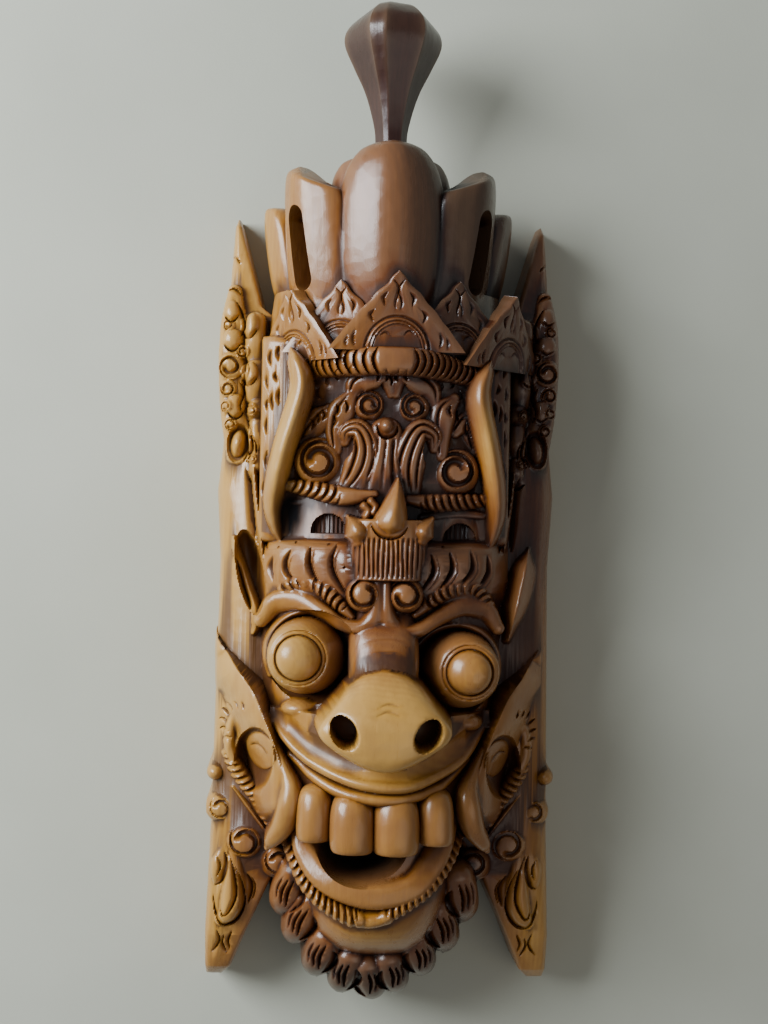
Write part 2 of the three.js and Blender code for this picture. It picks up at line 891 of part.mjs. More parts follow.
// Hollow of the back at stations up the mask:
// [height, half width at the back, share of the full depth that the wall leaves]
const hollowStations = [
  [56, 6, 0.2],
  [74, 22, 0.64],
  [100, 35, 0.93],
  [150, 60, 0.95],
  [210, 71, 1],
  [290, 70, 1],
  [350, 56, 0.94],
  [395, 42, 0.97],
  [428, 37, 0.83],
  [444, 22, 0.5],
  [450, 6, 0.17],
];
function hollow() {
  const archPoints = 7;
  const below = -4; // the cut starts behind the back
  const rings = hollowStations.map(([height, halfWidth, depthShare]) => {
    const depth = (skin(0, height) - wall / outScale) * depthShare;
    const ring = [new THREE.Vector3(halfWidth, height, below), new THREE.Vector3(-halfWidth, height, below)];
    for (let i = 0; i <= archPoints; i++) {
      const x = -halfWidth * Math.cos((Math.PI * i) / archPoints);
      const share = Math.abs(x) / halfWidth;
      ring.push(new THREE.Vector3(x, height, depth * (1 - share ** headRoundness) ** (1 / headRoundness)));
    }
    return ring;
  });
  return solid(loft(rings));
}

// A ten-sided socket for the finial's peg, bored down the crown's core
function pegBar(radius, bottom, top) {
  const bar = new THREE.CylinderGeometry(radius, radius, top - bottom, 10);
  bar.translate(0, (top + bottom) / 2, pegHeight * outScale);
  return solid(bar, false);
}
function pegSocket() {
  const seat = coreTop * upScale;
  return pegBar(pegDiameter / 2 + pegClearance, seat - pegLength - pegClearance * 2, seat + pegLength);
}

// Finial: [height above the core, share of the way from the stem's width to the full width]
const finialStations = [
  [0, 0.04],
  [29, 0.03],
  [42, 0.16],
  [55, 0.38],
  [68, 0.71],
  [81, 1],
  [89, 0.94],
  [96.5, 0.58],
  [101, 0.19],
  [104, -0.3],
];
function finial() {
  const flats = 8;
  const seat = (coreTop * upScale + pegClearance) / upScale;
  const stem = finialStem / 2 / acrossScale;
  const full = finialWidth / 2 / acrossScale;
  const rise = drawnLength - seat;
  const tallest = finialStations[finialStations.length - 1][0];
  const rings = finialStations.map(([height, share]) => {
    const radius = stem + (full - stem) * share;
    const ring = [];
    for (let i = 0; i < flats; i++) {
      const turn = (Math.PI * 2 * i) / flats;
      ring.push(
        new THREE.Vector3(
          Math.sin(turn) * radius,
          seat + (rise * height) / tallest,
          pegHeight + (Math.cos(turn) * radius * acrossScale) / outScale,
        ),
      );
    }
    return ring;
  });
  const peg = pegBar(pegDiameter / 2, seat * upScale - pegLength, seat * upScale + pegLength / 2);
  return solid(loft(rings)).add(peg);
}

function mask() {
  const forms = [head(), crownCore(), crownBand(), foreheadPanel(), foreheadBands(), flower(), nose()];
  forms.push(upperLip(), lowerLip(), beard());
  forms.push(...crownPetals.map(petal), ...crownLeaves.map(crownLeaf), leafArch(crownLeaves[0]));
  const onEachSide = [sideBoard, boardScroll, curlsOfBoard, legLeaf, ear, cheekFlap, cheekRoll];
  onEachSide.push(horn, brow, eye, cheekBag, fang, chinRoll);
  for (const side of bothSides) forms.push(...onEachSide.map((make) => make(side)));
  const cuts = [hollow(), mouthOpening(), pegSocket()];
  for (const side of bothSides) cuts.push(nostril(side), crownSlot(side), earHollow(side));
  return joinAll(forms).subtract(joinAll(cuts)).add(joinAll(teeth.map(tooth)));
}

const waxed = { roughness: 0.42, metalness: 0 };
const wood = new THREE.MeshStandardMaterial({ name: "wood", color: 0x9a6434, ...waxed });
const darkWood = new THREE.MeshStandardMaterial({ name: "dark_wood", color: 0x4a2a20, ...waxed });

const object = new THREE.Group();
function place(name, manifold, material) {
  const mesh = new THREE.Mesh(geometryOf(manifold), material);
  mesh.name = name;
  object.add(mesh);
}
place("mask", mask(), wood);
place("finial", finial(), darkWood);

// The origin is under the middle of the mask, on the plane that its back lies on.
const middle = new THREE.Box3().setFromObject(object).getCenter(new THREE.Vector3());
for (const mesh of object.children) mesh.position.set(-middle.x, -middle.y, 0);

export default object;
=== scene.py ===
import math

import bpy
import numpy as np
from mathutils import Matrix, Vector


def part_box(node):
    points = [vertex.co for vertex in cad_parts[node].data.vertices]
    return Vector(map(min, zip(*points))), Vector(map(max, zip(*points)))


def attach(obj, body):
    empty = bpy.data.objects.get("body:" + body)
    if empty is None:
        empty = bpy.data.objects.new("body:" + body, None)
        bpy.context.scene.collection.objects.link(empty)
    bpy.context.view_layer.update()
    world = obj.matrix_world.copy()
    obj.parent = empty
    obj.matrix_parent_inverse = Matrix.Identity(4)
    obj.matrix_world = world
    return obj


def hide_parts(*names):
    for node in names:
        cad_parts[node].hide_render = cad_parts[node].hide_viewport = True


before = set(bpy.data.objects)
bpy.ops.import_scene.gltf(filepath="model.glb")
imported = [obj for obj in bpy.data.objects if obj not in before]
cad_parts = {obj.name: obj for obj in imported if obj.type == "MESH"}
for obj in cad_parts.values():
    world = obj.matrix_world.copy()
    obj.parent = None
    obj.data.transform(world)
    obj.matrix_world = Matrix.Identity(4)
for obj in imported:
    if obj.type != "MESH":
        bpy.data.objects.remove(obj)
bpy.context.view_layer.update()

# The carving is laid out in millimetres: x across from the middle of the face, h up from the beard's tip,
# z out of the flat back. The frame's origin is under the middle of the whole mask.
across = 1.00333  # the drawing is stretched by this much to the solid's width
faceMiddle = sum(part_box("finial")[end][0] for end in (0, 1)) / 2  # metres
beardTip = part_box("mask")[0][1]  # metres
rightSpread = 1.045  # the right board is this much wider
left, right = -1, 1


def toFrame(points):
    # x' = across x + faceMiddle, y' = h + beardTip, z' = z, in metres
    points = np.asarray(points, float) / 1000
    return points * (across, 1, 1) + (faceMiddle, beardTip, 0)


def smoothCurve(points, count):
    # Catmull-Rom: p(t) = (2b + (c - a)t + (2a - 5b + 4c - d)t^2 + (3b - a - 3c + d)t^3) / 2
    p = np.asarray(points, float)
    p = np.vstack([2 * p[0] - p[1], p, 2 * p[-1] - p[-2]])
    place = np.linspace(0, len(points) - 1 - 1e-9, count)
    i = place.astype(int)
    t = (place - i)[:, None]
    a, b, c, d = p[i], p[i + 1], p[i + 2], p[i + 3]
    return (2 * b + (c - a) * t + (2 * a - 5 * b + 4 * c - d) * t**2 + (3 * b - a - 3 * c + d) * t**3) / 2


def atHeight(stations, height):
    # cubic between the stations: h00 p1 + h10 m1 + h01 p2 + h11 m2, with m the slope over both neighbours
    s = np.asarray(stations, float)
    height = np.clip(height, s[0, 0], s[-1, 0])
    i = np.clip(np.searchsorted(s[:, 0], height, side="right") - 1, 0, len(s) - 2)
    before, start, end, after = (s[np.clip(i + k, 0, len(s) - 1)] for k in (-1, 0, 1, 2))
    span = (end[..., :1] - start[..., :1])
    t = (height[..., None] - start[..., :1]) / span
    m1 = (end - before) / np.maximum(end[..., :1] - before[..., :1], 1e-9) * span
    m2 = (after - start) / np.maximum(after[..., :1] - start[..., :1], 1e-9) * span
    return ((2 * t**3 - 3 * t**2 + 1) * start + (t**3 - 2 * t**2 + t) * m1
            + (3 * t**2 - 2 * t**3) * end + (t**3 - t**2) * m2)


# the block of wood, as a height over a fine grid
cell = 0.55
gridX = np.arange(-101.2, 105.0, cell)
gridH = np.arange(-3.0, 463.0, cell)
outside = -6.0  # height of the empty ground round the mask
block = np.full((len(gridH), len(gridX)), outside)


def window(low, high):
    # the part of the grid between two corners, as slices and as x and h of its points
    cols = slice(*np.searchsorted(gridX, (low[0], high[0])))
    rows = slice(*np.searchsorted(gridH, (low[1], high[1])))
    x, h = np.meshgrid(gridX[cols], gridH[rows])
    return (rows, cols), x, h


def windowOf(path, reach):
    # the window that holds a path and `reach` all round it
    p = np.asarray(path, float)
    return window(p[:, :2].min(0) - reach, p[:, :2].max(0) + reach)


def nearCurve(x, h, curve):
    # nearest place on the line a + u(b - a), u held to 0..1: distance, side, run and the curve's other columns
    best = np.full(x.shape, 1e9)
    side = np.zeros(x.shape)
    run = np.zeros(x.shape)
    rest = np.zeros(x.shape + (curve.shape[1] - 2,))
    done = 0.0
    for a, b in zip(curve[:-1], curve[1:]):
        dx, dh = b[:2] - a[:2]
        size = dx * dx + dh * dh + 1e-12
        u = np.clip(((x - a[0]) * dx + (h - a[1]) * dh) / size, 0, 1)
        ex, eh = x - a[0] - u * dx, h - a[1] - u * dh
        away = ex * ex + eh * eh
        near = away < best
        best = np.where(near, away, best)
        side = np.where(near, np.sign(dx * eh - dh * ex), side)
        run = np.where(near, done + u * math.sqrt(size), run)
        rest = np.where(near[..., None], a[2:] + u[..., None] * (b[2:] - a[2:]), rest)
        done += math.sqrt(size)
    return np.sqrt(best), side, run / max(done, 1e-9), done, rest


def edgeFall(inside, radius, steep=30.0):
    # rounded edge: r - sqrt(r^2 - (r - inside)^2), and outside it a wall `steep` times higher than wide
    a = np.clip(inside, 0, radius)
    return radius - np.sqrt(np.maximum(radius**2 - (radius - a) ** 2, 0)) + np.maximum(-inside, 0) * steep


def raiseTo(spot, z, blend=0.0):
    # the higher of two surfaces, with a fillet: max(a, b) + max(r - |a - b|, 0)^2 / 4r
    old = block[spot]
    new = np.maximum(old, z)
    if blend:
        new = new + np.maximum(blend - np.abs(old - z), 0) ** 2 / (4 * blend)
    block[spot] = new


def addDome(x0, h0, z0, radii, tilt=0.0, power=2.0, blend=0.0):
    # ellipsoid: z = z0 + rz (1 - r^power)^(1/power)
    rx, rh, rz = radii
    spot, x, h = window((x0 - rx * 1.3, h0 - rh * 1.3), (x0 + rx * 1.3, h0 + rh * 1.3))
    c, s = math.cos(tilt), math.sin(tilt)
    u, v = ((x - x0) * c + (h - h0) * s) / rx, ((h - h0) * c - (x - x0) * s) / rh
    r = np.sqrt(u * u + v * v)
    z = z0 + rz * np.maximum(1 - np.minimum(r, 1) ** power, 0) ** (1 / power)
    raiseTo(spot, z - np.maximum(r - 1, 0) * min(rx, rh) * 30, blend)


def sinkDome(x0, h0, radii, depth, tilt=0.0):
    # scooped hollow: z - depth (1 - r^2)^(1/2)
    rx, rh = radii
    reach = max(rx, rh) * 1.1
    spot, x, h = window((x0 - reach, h0 - reach), (x0 + reach, h0 + reach))
    c, s = math.cos(tilt), math.sin(tilt)
    u, v = ((x - x0) * c + (h - h0) * s) / rx, ((h - h0) * c - (x - x0) * s) / rh
    block[spot] = block[spot] - depth * np.sqrt(np.maximum(1 - u * u - v * v, 0))


def addRoll(path, count=40, power=2.0, blend=0.0, beads=None, flutes=(), wide=1.0):
    # roll along a path of [x, h, z, half width, half thickness]: z + thick (1 - |s|^p)^(1/p), s = side / half width
    spot, x, h = windowOf(path, max(p[3] for p in path) * wide * 1.25 + 1)
    away, side, run, length, rest = nearCurve(x, h, smoothCurve(path, count))
    z0, half, thick = rest[..., 0], np.maximum(rest[..., 1] * wide, 0.3), rest[..., 2]
    s = away / half
    signed = s * side
    z = z0 + thick * np.maximum(1 - np.minimum(s, 1) ** power, 0) ** (1 / power)
    z = z - np.maximum(away - half, 0) * 30
    if beads:
        z = z - beadCuts(run, length, signed, beads)
    for place, width, depth in flutes:
        # flute: depth * exp(-((s - place) / width)^2), running out at both ends
        ends = np.clip(np.minimum(run * 6, (1 - run) * 4), 0, 1)
        z = z - depth * np.exp(-(((signed - place) / width) ** 2)) * ends
    raiseTo(spot, z, blend)


def beadCuts(run, length, s, beads):
    # one cut a bead: depth (1 - |phase| / share)^0.6 about whole phases, phase = run / pitch + slant s + bow s^2
    phase = run * length / beads["pitch"] + beads.get("slant", 0) * s + beads.get("bow", 0) * s * s
    off = phase - np.round(phase)
    cut = np.clip(1 - np.abs(off) / beads.get("share", 0.28), 0, 1) ** 0.6
    start, end = beads.get("from", 0.0), beads.get("to", 1.0)
    inside = np.clip((run - start) * 40, 0, 1) * np.clip((end - run) * 40, 0, 1)
    return beads["depth"] * cut * inside


def gougeDepth(x, h, path, width, depth, count=18):
    # crescent cut: steep on one side, depth ((1 - s) / 2)^1.4 across, sin(pi run)^0.6 along
    away, side, run, length, rest = nearCurve(x, h, smoothCurve(path, count))
    taper = np.sin(np.pi * np.clip(run, 0, 1)) ** 0.6
    s = away * side / (width * np.maximum(taper, 0.15))
    scoop = np.where((s > -1) & (s < 1), (np.clip(1 - s, 0, 2) / 2) ** 1.4, 0)
    wall = np.clip(1 - (-1 - s) * width / 0.4, 0, 1) * (s <= -1)
    return depth * taper * np.maximum(scoop, wall)


def gouge(path, width, depth):
    # takes gougeDepth off the wood; a width below zero turns the steep side to the other hand
    spot, x, h = windowOf(path, abs(width) + 1.5)
    if width < 0:
        path, width = path[::-1], -width
    block[spot] = block[spot] - gougeDepth(x, h, path, width, depth)


def score(path, width, depth):
    # thin line cut with the knife: depth exp(-(distance / width)^2)
    spot, x, h = windowOf(path, width * 4)
    away, side, run, length, rest = nearCurve(x, h, smoothCurve(path, 24))
    block[spot] = block[spot] - depth * np.exp(-((away / width) ** 2)) * np.sin(np.pi * np.clip(run, 0, 1)) ** 0.5


def spiralHeight(x, h, radius, hand, start, turns, groove, rise):
    # groove at 0.87 R exp(-0.6 t) after t turns, R (0.07 + 0.09 t) wide, in a dome rise (1 - (r / R)^2.6)^(1/2)
    r = np.hypot(x, h)
    first = ((np.arctan2(h, x) * hand - start) / (2 * np.pi)) % 1
    cut = np.zeros(r.shape)
    for lap in range(3):
        t = first + lap
        off = (r / radius - 0.87 * np.exp(-0.6 * t)) / (0.07 + 0.09 * t)
        depth = np.clip(t * 4, 0, 1) * np.clip((turns - t) * 7, 0, 1)
        cut = np.maximum(cut, depth * np.sqrt(np.maximum(1 - off * off, 0)))
    dome = rise * np.maximum(1 - np.minimum(r / radius, 1) ** 2.6, 0) ** 0.5
    return dome - groove * cut


def addCurl(x0, h0, radius, z0, rise, hand, start, turns, groove):
    # a button of its own: z0 + spiralHeight, walled 12 to 1 beyond its radius
    spot, x, h = window((x0 - radius - 2, h0 - radius - 2), (x0 + radius + 2, h0 + radius + 2))
    u, v = x - x0, h - h0
    z = z0 + spiralHeight(u, v, radius, hand, start, turns, groove, rise)
    raiseTo(spot, z - np.maximum(np.hypot(u, v) - radius, 0) * 12)


def carveCurl(x0, h0, radius, rise, hand, start, turns, groove):
    # the same curl cut into whatever wood is there
    spot, x, h = window((x0 - radius, h0 - radius), (x0 + radius, h0 + radius))
    block[spot] = block[spot] + spiralHeight(x - x0, h - h0, radius, hand, start, turns, groove, rise)


def swellOn(x0, h0, rx, rh, rise):
    # boss on whatever wood is there: rise (1 - r^2)^(1/2)
    spot, x, h = window((x0 - rx, h0 - rh), (x0 + rx, h0 + rh))
    block[spot] = block[spot] + rise * np.sqrt(np.maximum(1 - ((x - x0) / rx) ** 2 - ((h - h0) / rh) ** 2, 0))


def addLedge(path, gentle, bulge, steep, rounded=91, walled=94):
    # sharp edge along [x, h, z]: z - gentle d - bulge d^2 on the left of the way it runs, z - steep d on the right;
    # near the board's edge it rounds off by 3 (|x| - rounded)^1.5 and ends in a wall
    spot, x, h = windowOf(path, 32)
    away, side, run, length, rest = nearCurve(x, h, smoothCurve(path, 60))
    z = rest[..., 0] - np.where(side > 0, away * gentle + away**2 * bulge, away * steep)
    raiseTo(spot, z - np.maximum(np.abs(x) - rounded, 0) ** 1.5 * 3 - np.maximum(np.abs(x) - walled, 0) * 60)


print("head and boards")
# height, half width, z in the middle and at the edge
headStations = [
    [26, 20, 46, 30], [40, 33, 80, 36], [60, 41, 98, 40], [85, 46, 99, 42], [105, 50, 98, 44], [130, 56, 104, 48],
    [160, 63, 100, 50], [200, 67, 93, 52], [240, 68, 95, 52], [268, 67, 90, 50], [300, 66, 87, 48], [345, 66, 88, 46],
    [372, 67, 94, 44], [402, 64, 86, 40],
]


def skin(x, h):
    # edge + (middle - edge)(1 - |x / w|^2.6)^(1/2)
    s = atHeight(headStations, np.asarray(h, float))
    share = np.minimum(1, np.abs(x) / s[..., 1])
    return s[..., 3] + (s[..., 2] - s[..., 3]) * np.sqrt(1 - share**2.6)


def skinAt(x, h):
    # the same at one place
    return float(skin(np.array(float(x)), np.array(float(h))))


spot, x, h = window((-80, 26), (80, 402))
raiseTo(spot, skin(x, h) - np.maximum(np.abs(x) - atHeight(headStations, h)[..., 1], 0) * 30)

# height, outer edge, inner edge, z at the outer and at the inner edge
boardStations = [
    [9, 96, 87, 22, 24], [17, 96.5, 81, 32, 36], [38, 96, 73, 40, 46], [80, 94.5, 55, 40, 56], [100, 94, 42, 38, 60],
    [250, 92, 42, 34, 60], [290, 94.5, 42, 32, 56], [318, 92, 42, 30, 54], [388, 91, 62, 27, 46],
    [396, 91, 71, 26, 42], [444, 88.5, 84, 20, 26], [450, 87, 86, 16, 18],
]
for side, spread in ((left, 1.0), (right, rightSpread)):
    spot, x, h = window((-101, 8), (0, 451)) if side == left else window((0, 8), (105, 451))
    reach = x * side / spread
    s = np.stack([np.interp(h, [b[0] for b in boardStations], [b[k] for b in boardStations])
                  for k in range(1, 5)], axis=-1)
    outer, inner, zOuter, zInner = (s[..., k] for k in range(4))
    # front: flat to half of the width, then a quarter round down to the outer edge
    share = np.clip((reach - inner) / (outer - inner), 0, 1)
    turned = np.clip((share - 0.5) / 0.5, 0, 1)
    z = zOuter + (zInner - zOuter) * np.sqrt(1 - turned**2.2)
    ends = np.minimum(h - 9, 450 - h)
    inside = np.minimum(np.minimum(outer - reach, reach - inner), ends)
    raiseTo(spot, z - edgeFall(inside, 3.0))


def onSide(path, side, lower=0.0, stretch=1.0):
    # a path drawn for the right, on either side of the middle
    return [[p[0] * side * stretch, p[1] - lower] + list(p[2:]) for p in path]


def forSides(path):
    # both sides in turn
    return [(side, onSide(path, side)) for side in (left, right)]


boardWidth = (1.0, rightSpread)

print("forehead")
bandLeft = [[-1, 360, 98, 8.0, 7], [-21, 360, 95, 7.5, 7], [-36, 358, 89, 7, 6], [-45, 356, 84, 5.5, 5]]
bandRight = [[9, 360, 98, 8.0, 7], [24, 359.5, 95, 7.5, 7], [37, 358, 90, 7, 6], [50, 354, 84, 5.5, 5]]
addRoll([[-44, 357, 84, 5.5, 6], [-21, 360, 95, 7.5, 7.4], [4, 361, 99, 7.8, 7.6], [24, 359.5, 95, 7.5, 7.4],
         [50, 354, 84, 5.5, 6]], power=3)
for path, lean in ((bandLeft, 1), (bandRight, -1)):
    bend = 1.6 * lean
    for middle, top, tall in smoothCurve(path, 13)[1:, [0, 1, 3]]:
        gouge([[middle + bend * 0.2, top + tall], [middle - bend, top + tall * 0.2],
               [middle + bend * 0.1, top - tall * 0.55], [middle + bend * 1.9, top - tall]], 1.5 * lean, 3.6)

# the ground between the leaves stands 2.5 over the skin: 2.5 sqrt(1 - |x / 56|^6), ended softly above and below
spot, x, h = window((-58, 288), (58, 360))
ends = np.clip((h - 288) / 8, 0, 1)
block[spot] = np.maximum(block[spot], skin(x, h) + 2.5 * np.sqrt(np.maximum(1 - np.abs(x / 56) ** 6, 0)) * ends)
panelCurls = [
    # x, h, radius, rise, hand, start, turns
    [-9.9, 337.6, 8.8, 8.0, -1, 2.6, 1.75],
    [14.3, 337.2, 8.8, 8.0, 1, 0.5, 1.75],
    [-36.3, 306.8, 13.4, 11.0, 1, 0.3, 1.55],
    [38.0, 302.8, 13.0, 11.0, -1, 2.8, 1.55],
]
# leaves over the two upper curls, and beside them: [x, h, lift of its middle over the skin, half width, thickness]
panelLeaves = [
    [[-20, 341, 0, 2.0, 4], [-16.5, 349, 0.5, 4.4, 5.5], [-8, 352.5, 1, 4.6, 6], [-1, 352, 1, 3.8, 6],
     [2, 344, 0, 2, 5]],
    [[4.2, 344, 0, 2.2, 5], [6, 352.5, 1, 3.8, 6], [14, 352, 1, 4.8, 6], [22.5, 346.5, 0.5, 4.6, 5.5],
     [25.5, 338, 0, 2, 4]],
    [[-27, 313, 0, 2.5, 5], [-27.5, 324, 0.5, 4.2, 5.5], [-24.5, 334, 1, 5.4, 6], [-19.5, 343, 0.5, 2.6, 4.5]],
    [[-46, 317, 0, 2.5, 4], [-41, 324, 0.5, 4.6, 5.5], [-35, 331, 1, 4.8, 6], [-31.5, 336, 0, 2.0, 4]],
    [[30, 311, 0, 2.5, 5], [29.5, 324, 0.5, 4.2, 5.5], [30.5, 335, 1, 5.2, 6], [36, 342, 0.5, 2.6, 4]],
    [[37, 324, 0, 2.5, 5], [42, 330, 0.5, 4.0, 5.5], [45, 331, 0, 3.0, 4.5]],
    [[49, 315, 0, 3.0, 4], [46.5, 324, 1, 4.6, 6], [43.5, 333, 0.5, 2.6, 4.5]],
]
# large comma leaves that curl over beside the stem
panelCommas = [
    [[-20.5, 292, -1, 4.0, 5], [-14, 303, 1, 6.0, 7.5], [-12.0, 314, 1.5, 5.6, 8.5], [-15.5, 323, 1.5, 4.6, 8],
     [-21.5, 322.5, 1, 3.4, 6.5], [-22.5, 317.5, 0, 2.0, 5]],
    [[13.0, 290, -1, 4.0, 5], [11.5, 303, 1, 6.0, 7.5], [13.5, 314, 1.5, 5.8, 8.5], [18.5, 323.5, 1.5, 4.8, 8],
     [25.0, 321.5, 1, 3.6, 6.5], [25.5, 315.0, 0, 2.0, 5]],
]
panelStem = [[-0.5, 322, 1, 8.0, 7], [-1.5, 311, 1.5, 7.6, 8], [-2.5, 301, 1, 10.5, 7.5], [-3, 290, 0, 13, 5]]


def onSkin(path):
    # z = skin + lift + 0.5, and the roll 0.85 as thick as drawn
    return [[x, h, skinAt(x, h) + lift + 0.5, half, thick * 0.85] for x, h, lift, half, thick in path]


addRoll(onSkin(panelStem), power=3.2, wide=1.15, flutes=[(-0.5, 0.1, 2.4), (0.52, 0.1, 2.4), (0.05, 0.07, 1.2)])
for leaf in panelLeaves:
    addRoll(onSkin(leaf), power=3.0, wide=1.4, flutes=[(0.35, 0.1, 2.2)])
for comma in panelCommas:
    addRoll(onSkin(comma), power=3.0, wide=1.55, flutes=[(0.5, 0.09, 2.8), (-0.05, 0.08, 2.4), (-0.55, 0.07, 2.0)])
for x0, h0, radius, rise, hand, start, turns in panelCurls:
    addCurl(x0, h0, radius, skinAt(x0, h0) - 0.5, rise, hand, start, turns, groove=radius * 0.42)
gouge([[-5.6, 327.5], [-3.4, 322.2], [0.2, 320.6], [4.0, 322.6], [5.6, 327.5]], 1.3, 4.0)
addDome(-0.3, 326.2, skinAt(0, 326) + 3, (4.4, 4.4, 8.5))
# finger cuts in the leaves: [path, width, depth]
panelCuts = [
    [[[-6.5, 356], [-4.8, 352.6], [-6.2, 349.5]], 1.0, 2.6],
    [[[-1.6, 356], [0.0, 352.4], [-1.4, 349.5]], 1.0, 2.6],
    [[[1.0, 354], [2.4, 350.5], [1.4, 347.5]], 0.9, 2.4],
    [[[5.0, 356], [3.6, 352.6], [5.4, 349.5]], 1.0, 2.6],
    [[[9.6, 356], [8.2, 353.2], [10.2, 350.0]], 1.0, 2.6],
    [[[-27.5, 338], [-25.8, 334.6], [-27.0, 331.0]], 1.2, 3.0],
    [[[-22.6, 340], [-20.8, 336.4], [-22.2, 332.4]], 1.2, 3.0],
    [[[-29.5, 332], [-27.0, 328.8], [-29.0, 325.0]], 1.0, 2.4],
    [[[-41.5, 330], [-39.0, 327.4], [-40.6, 323.5]], 1.0, 2.6],
    [[[-38.5, 333], [-36.2, 330.2], [-37.8, 326.4]], 1.0, 2.6],
    [[[-35.2, 335], [-33.2, 332.0], [-34.6, 328.4]], 1.0, 2.6],
    [[[34.2, 339], [32.4, 335.4], [34.6, 331.4]], 1.4, 3.2],
    [[[38.0, 337], [37.0, 333.0], [39.0, 329.5]], 1.1, 2.6],
    [[[43.0, 330], [42.0, 326.0], [43.6, 321.5]], 1.1, 2.8],
    [[[47.0, 328], [45.8, 324.0], [47.4, 320.0]], 1.1, 2.8],
    # crescents on the plain ground round the curls
    [[[-31.0, 353], [-32.6, 350.6], [-31.6, 347.8]], 1.2, 1.6],
    [[[-26.0, 356], [-27.6, 353.6], [-26.2, 350.4]], 1.2, 1.6],
    [[[-36.5, 347], [-37.6, 343.6], [-34.8, 340.6]], 1.2, 1.6],
    [[[-38.5, 351], [-38.9, 349.8], [-38.0, 348.6]], 0.8, 1.2],
    [[[-18.5, 358], [-20.2, 355.0], [-18.6, 352.2]], 1.2, 1.4],
    [[[27.0, 351], [28.4, 348.6], [27.2, 345.8]], 1.2, 1.6],
    [[[33.0, 353], [34.6, 350.6], [33.6, 347.6]], 1.2, 1.6],
    [[[38.5, 347], [39.6, 344.0], [37.8, 341.0]], 1.2, 1.6],
]
for path, width, depth in panelCuts:
    gouge(path, width if path[0][0] < 2 else -width, depth)
for x0, h0 in ((35.5, 349.5), (-41.5, 354.5)):
    sinkDome(x0, h0, (0.8, 0.8), 2.0)

# two gouged bands that meet behind the flower
bandBeads = {"pitch": 4.3, "depth": 3.6, "slant": -0.3, "bow": 0.3, "from": 0.04, "to": 0.62}
addRoll([[-53, 293.5, 76, 3.6, 8], [-40, 291.5, 82, 4.8, 8.5], [-22, 288, 88, 5.2, 9], [-6, 289.5, 92, 2.2, 6]],
        power=3, beads=bandBeads)
addRoll([[56, 288, 74, 3.6, 8], [44, 286.5, 80, 4.6, 8.5], [27, 285.5, 87, 4.8, 9], [12, 287, 91, 2.6, 6]],
        power=3, beads=dict(bandBeads, slant=0.3, to=0.86))
# ledge and scored comb under each band
for side, middle, half, foot in ((left, -30.5, 9.6, 268), (right, 41, 9.6, 264)):
    spot, x, h = window((middle - 12, foot - 1), (middle + 12, foot + 13))
    u = (x - middle) / half
    arch = (h - foot) / 10.5
    inside = (np.abs(u) < 1) & (arch > 0) & (u * u + arch * arch < 1)
    comb = 3.4 + 1.3 * np.abs(np.sin((x - middle) * np.pi / 2.3))
    block[spot] = np.where(inside, block[spot] - comb, block[spot])
addRoll([[-53, 284, 73, 2.6, 5], [-36, 284, 78, 3.2, 5], [-18, 280, 84, 2.6, 4]], power=3)
addRoll([[54, 279, 74, 2.6, 5], [38, 280, 80, 3.2, 5], [20, 277, 86, 2.6, 4]], power=3)

print("hair between the bands and the brows")
# one broad swell from side to side, its ridge line falling away past the horns
hair = {"middle": 251, "above": 13.5, "below": 22, "thick": 11,
        "out": [0, 22, 44, 58, 66, 70], "ridge": [104, 102, 94.5, 83, 70, 62]}
spot, x, h = window((-70, 226), (70, 266))
line = np.interp(np.abs(x - 1), hair["out"], hair["ridge"])
share = np.abs(h - hair["middle"]) / np.where(h > hair["middle"], hair["above"], hair["below"])
# z = ridge - thick + thick (1 - share^2.4)^(1/2)
z = line - hair["thick"] + hair["thick"] * np.sqrt(np.maximum(1 - share**2.4, 0))
raiseTo(spot, z - np.maximum(share - 1, 0) * 60, 2)
hairCuts = [
    [[-50.5, 259], [-53.8, 252], [-52.6, 245], [-46.0, 239]],
    [[-40.0, 261], [-41.2, 252], [-38.8, 245], [-34.4, 239.5]],
    [[-25.4, 263], [-29.2, 255], [-28.4, 247], [-24.4, 240], [-18.6, 233]],
    [[-60.5, 255], [-62.5, 248], [-60.0, 240]],
    [[24.5, 259], [27.0, 251], [25.6, 245], [19.6, 238]],
    [[35.0, 260], [37.2, 251], [35.0, 245], [30.0, 239.5]],
    [[46.6, 261], [48.6, 252], [46.2, 246], [39.8, 240.5]],
    [[56.2, 258], [58.0, 250], [55.6, 244], [50.8, 239]],
]
for path in hairCuts:
    side = right if path[0][0] > 0 else left
    gouge(path, 2.0 * side, 5.0)
    # a finer second cut beside each
    gouge([[p[0] + 2.8, p[1] - 1.0] for p in path], 0.7 * side, 1.0)
# pits of the gouge's corner
for x0, h0 in ((-47.5, 262.5), (-57, 259.5), (-21.5, 250), (-30, 262), (31, 262)):
    sinkDome(x0, h0, (0.9, 0.6), 1.8)

print("flower and tuft")
tuft = {"middle": 1.6, "foot": 243.5, "top": 276, "z": 99, "thick": 13.5, "pitch": 2.55, "cut": 1.9,
        "heights": [244, 252, 263, 273], "halves": [18.2, 19.6, 21.2, 20.5]}
spot, x, h = window((-22, 243), (25, 276))
u = np.abs(x - tuft["middle"]) / np.interp(h, tuft["heights"], tuft["halves"])
z = tuft["z"] + tuft["thick"] * np.maximum(1 - np.minimum(u, 1) ** 2.6, 0) ** 0.5
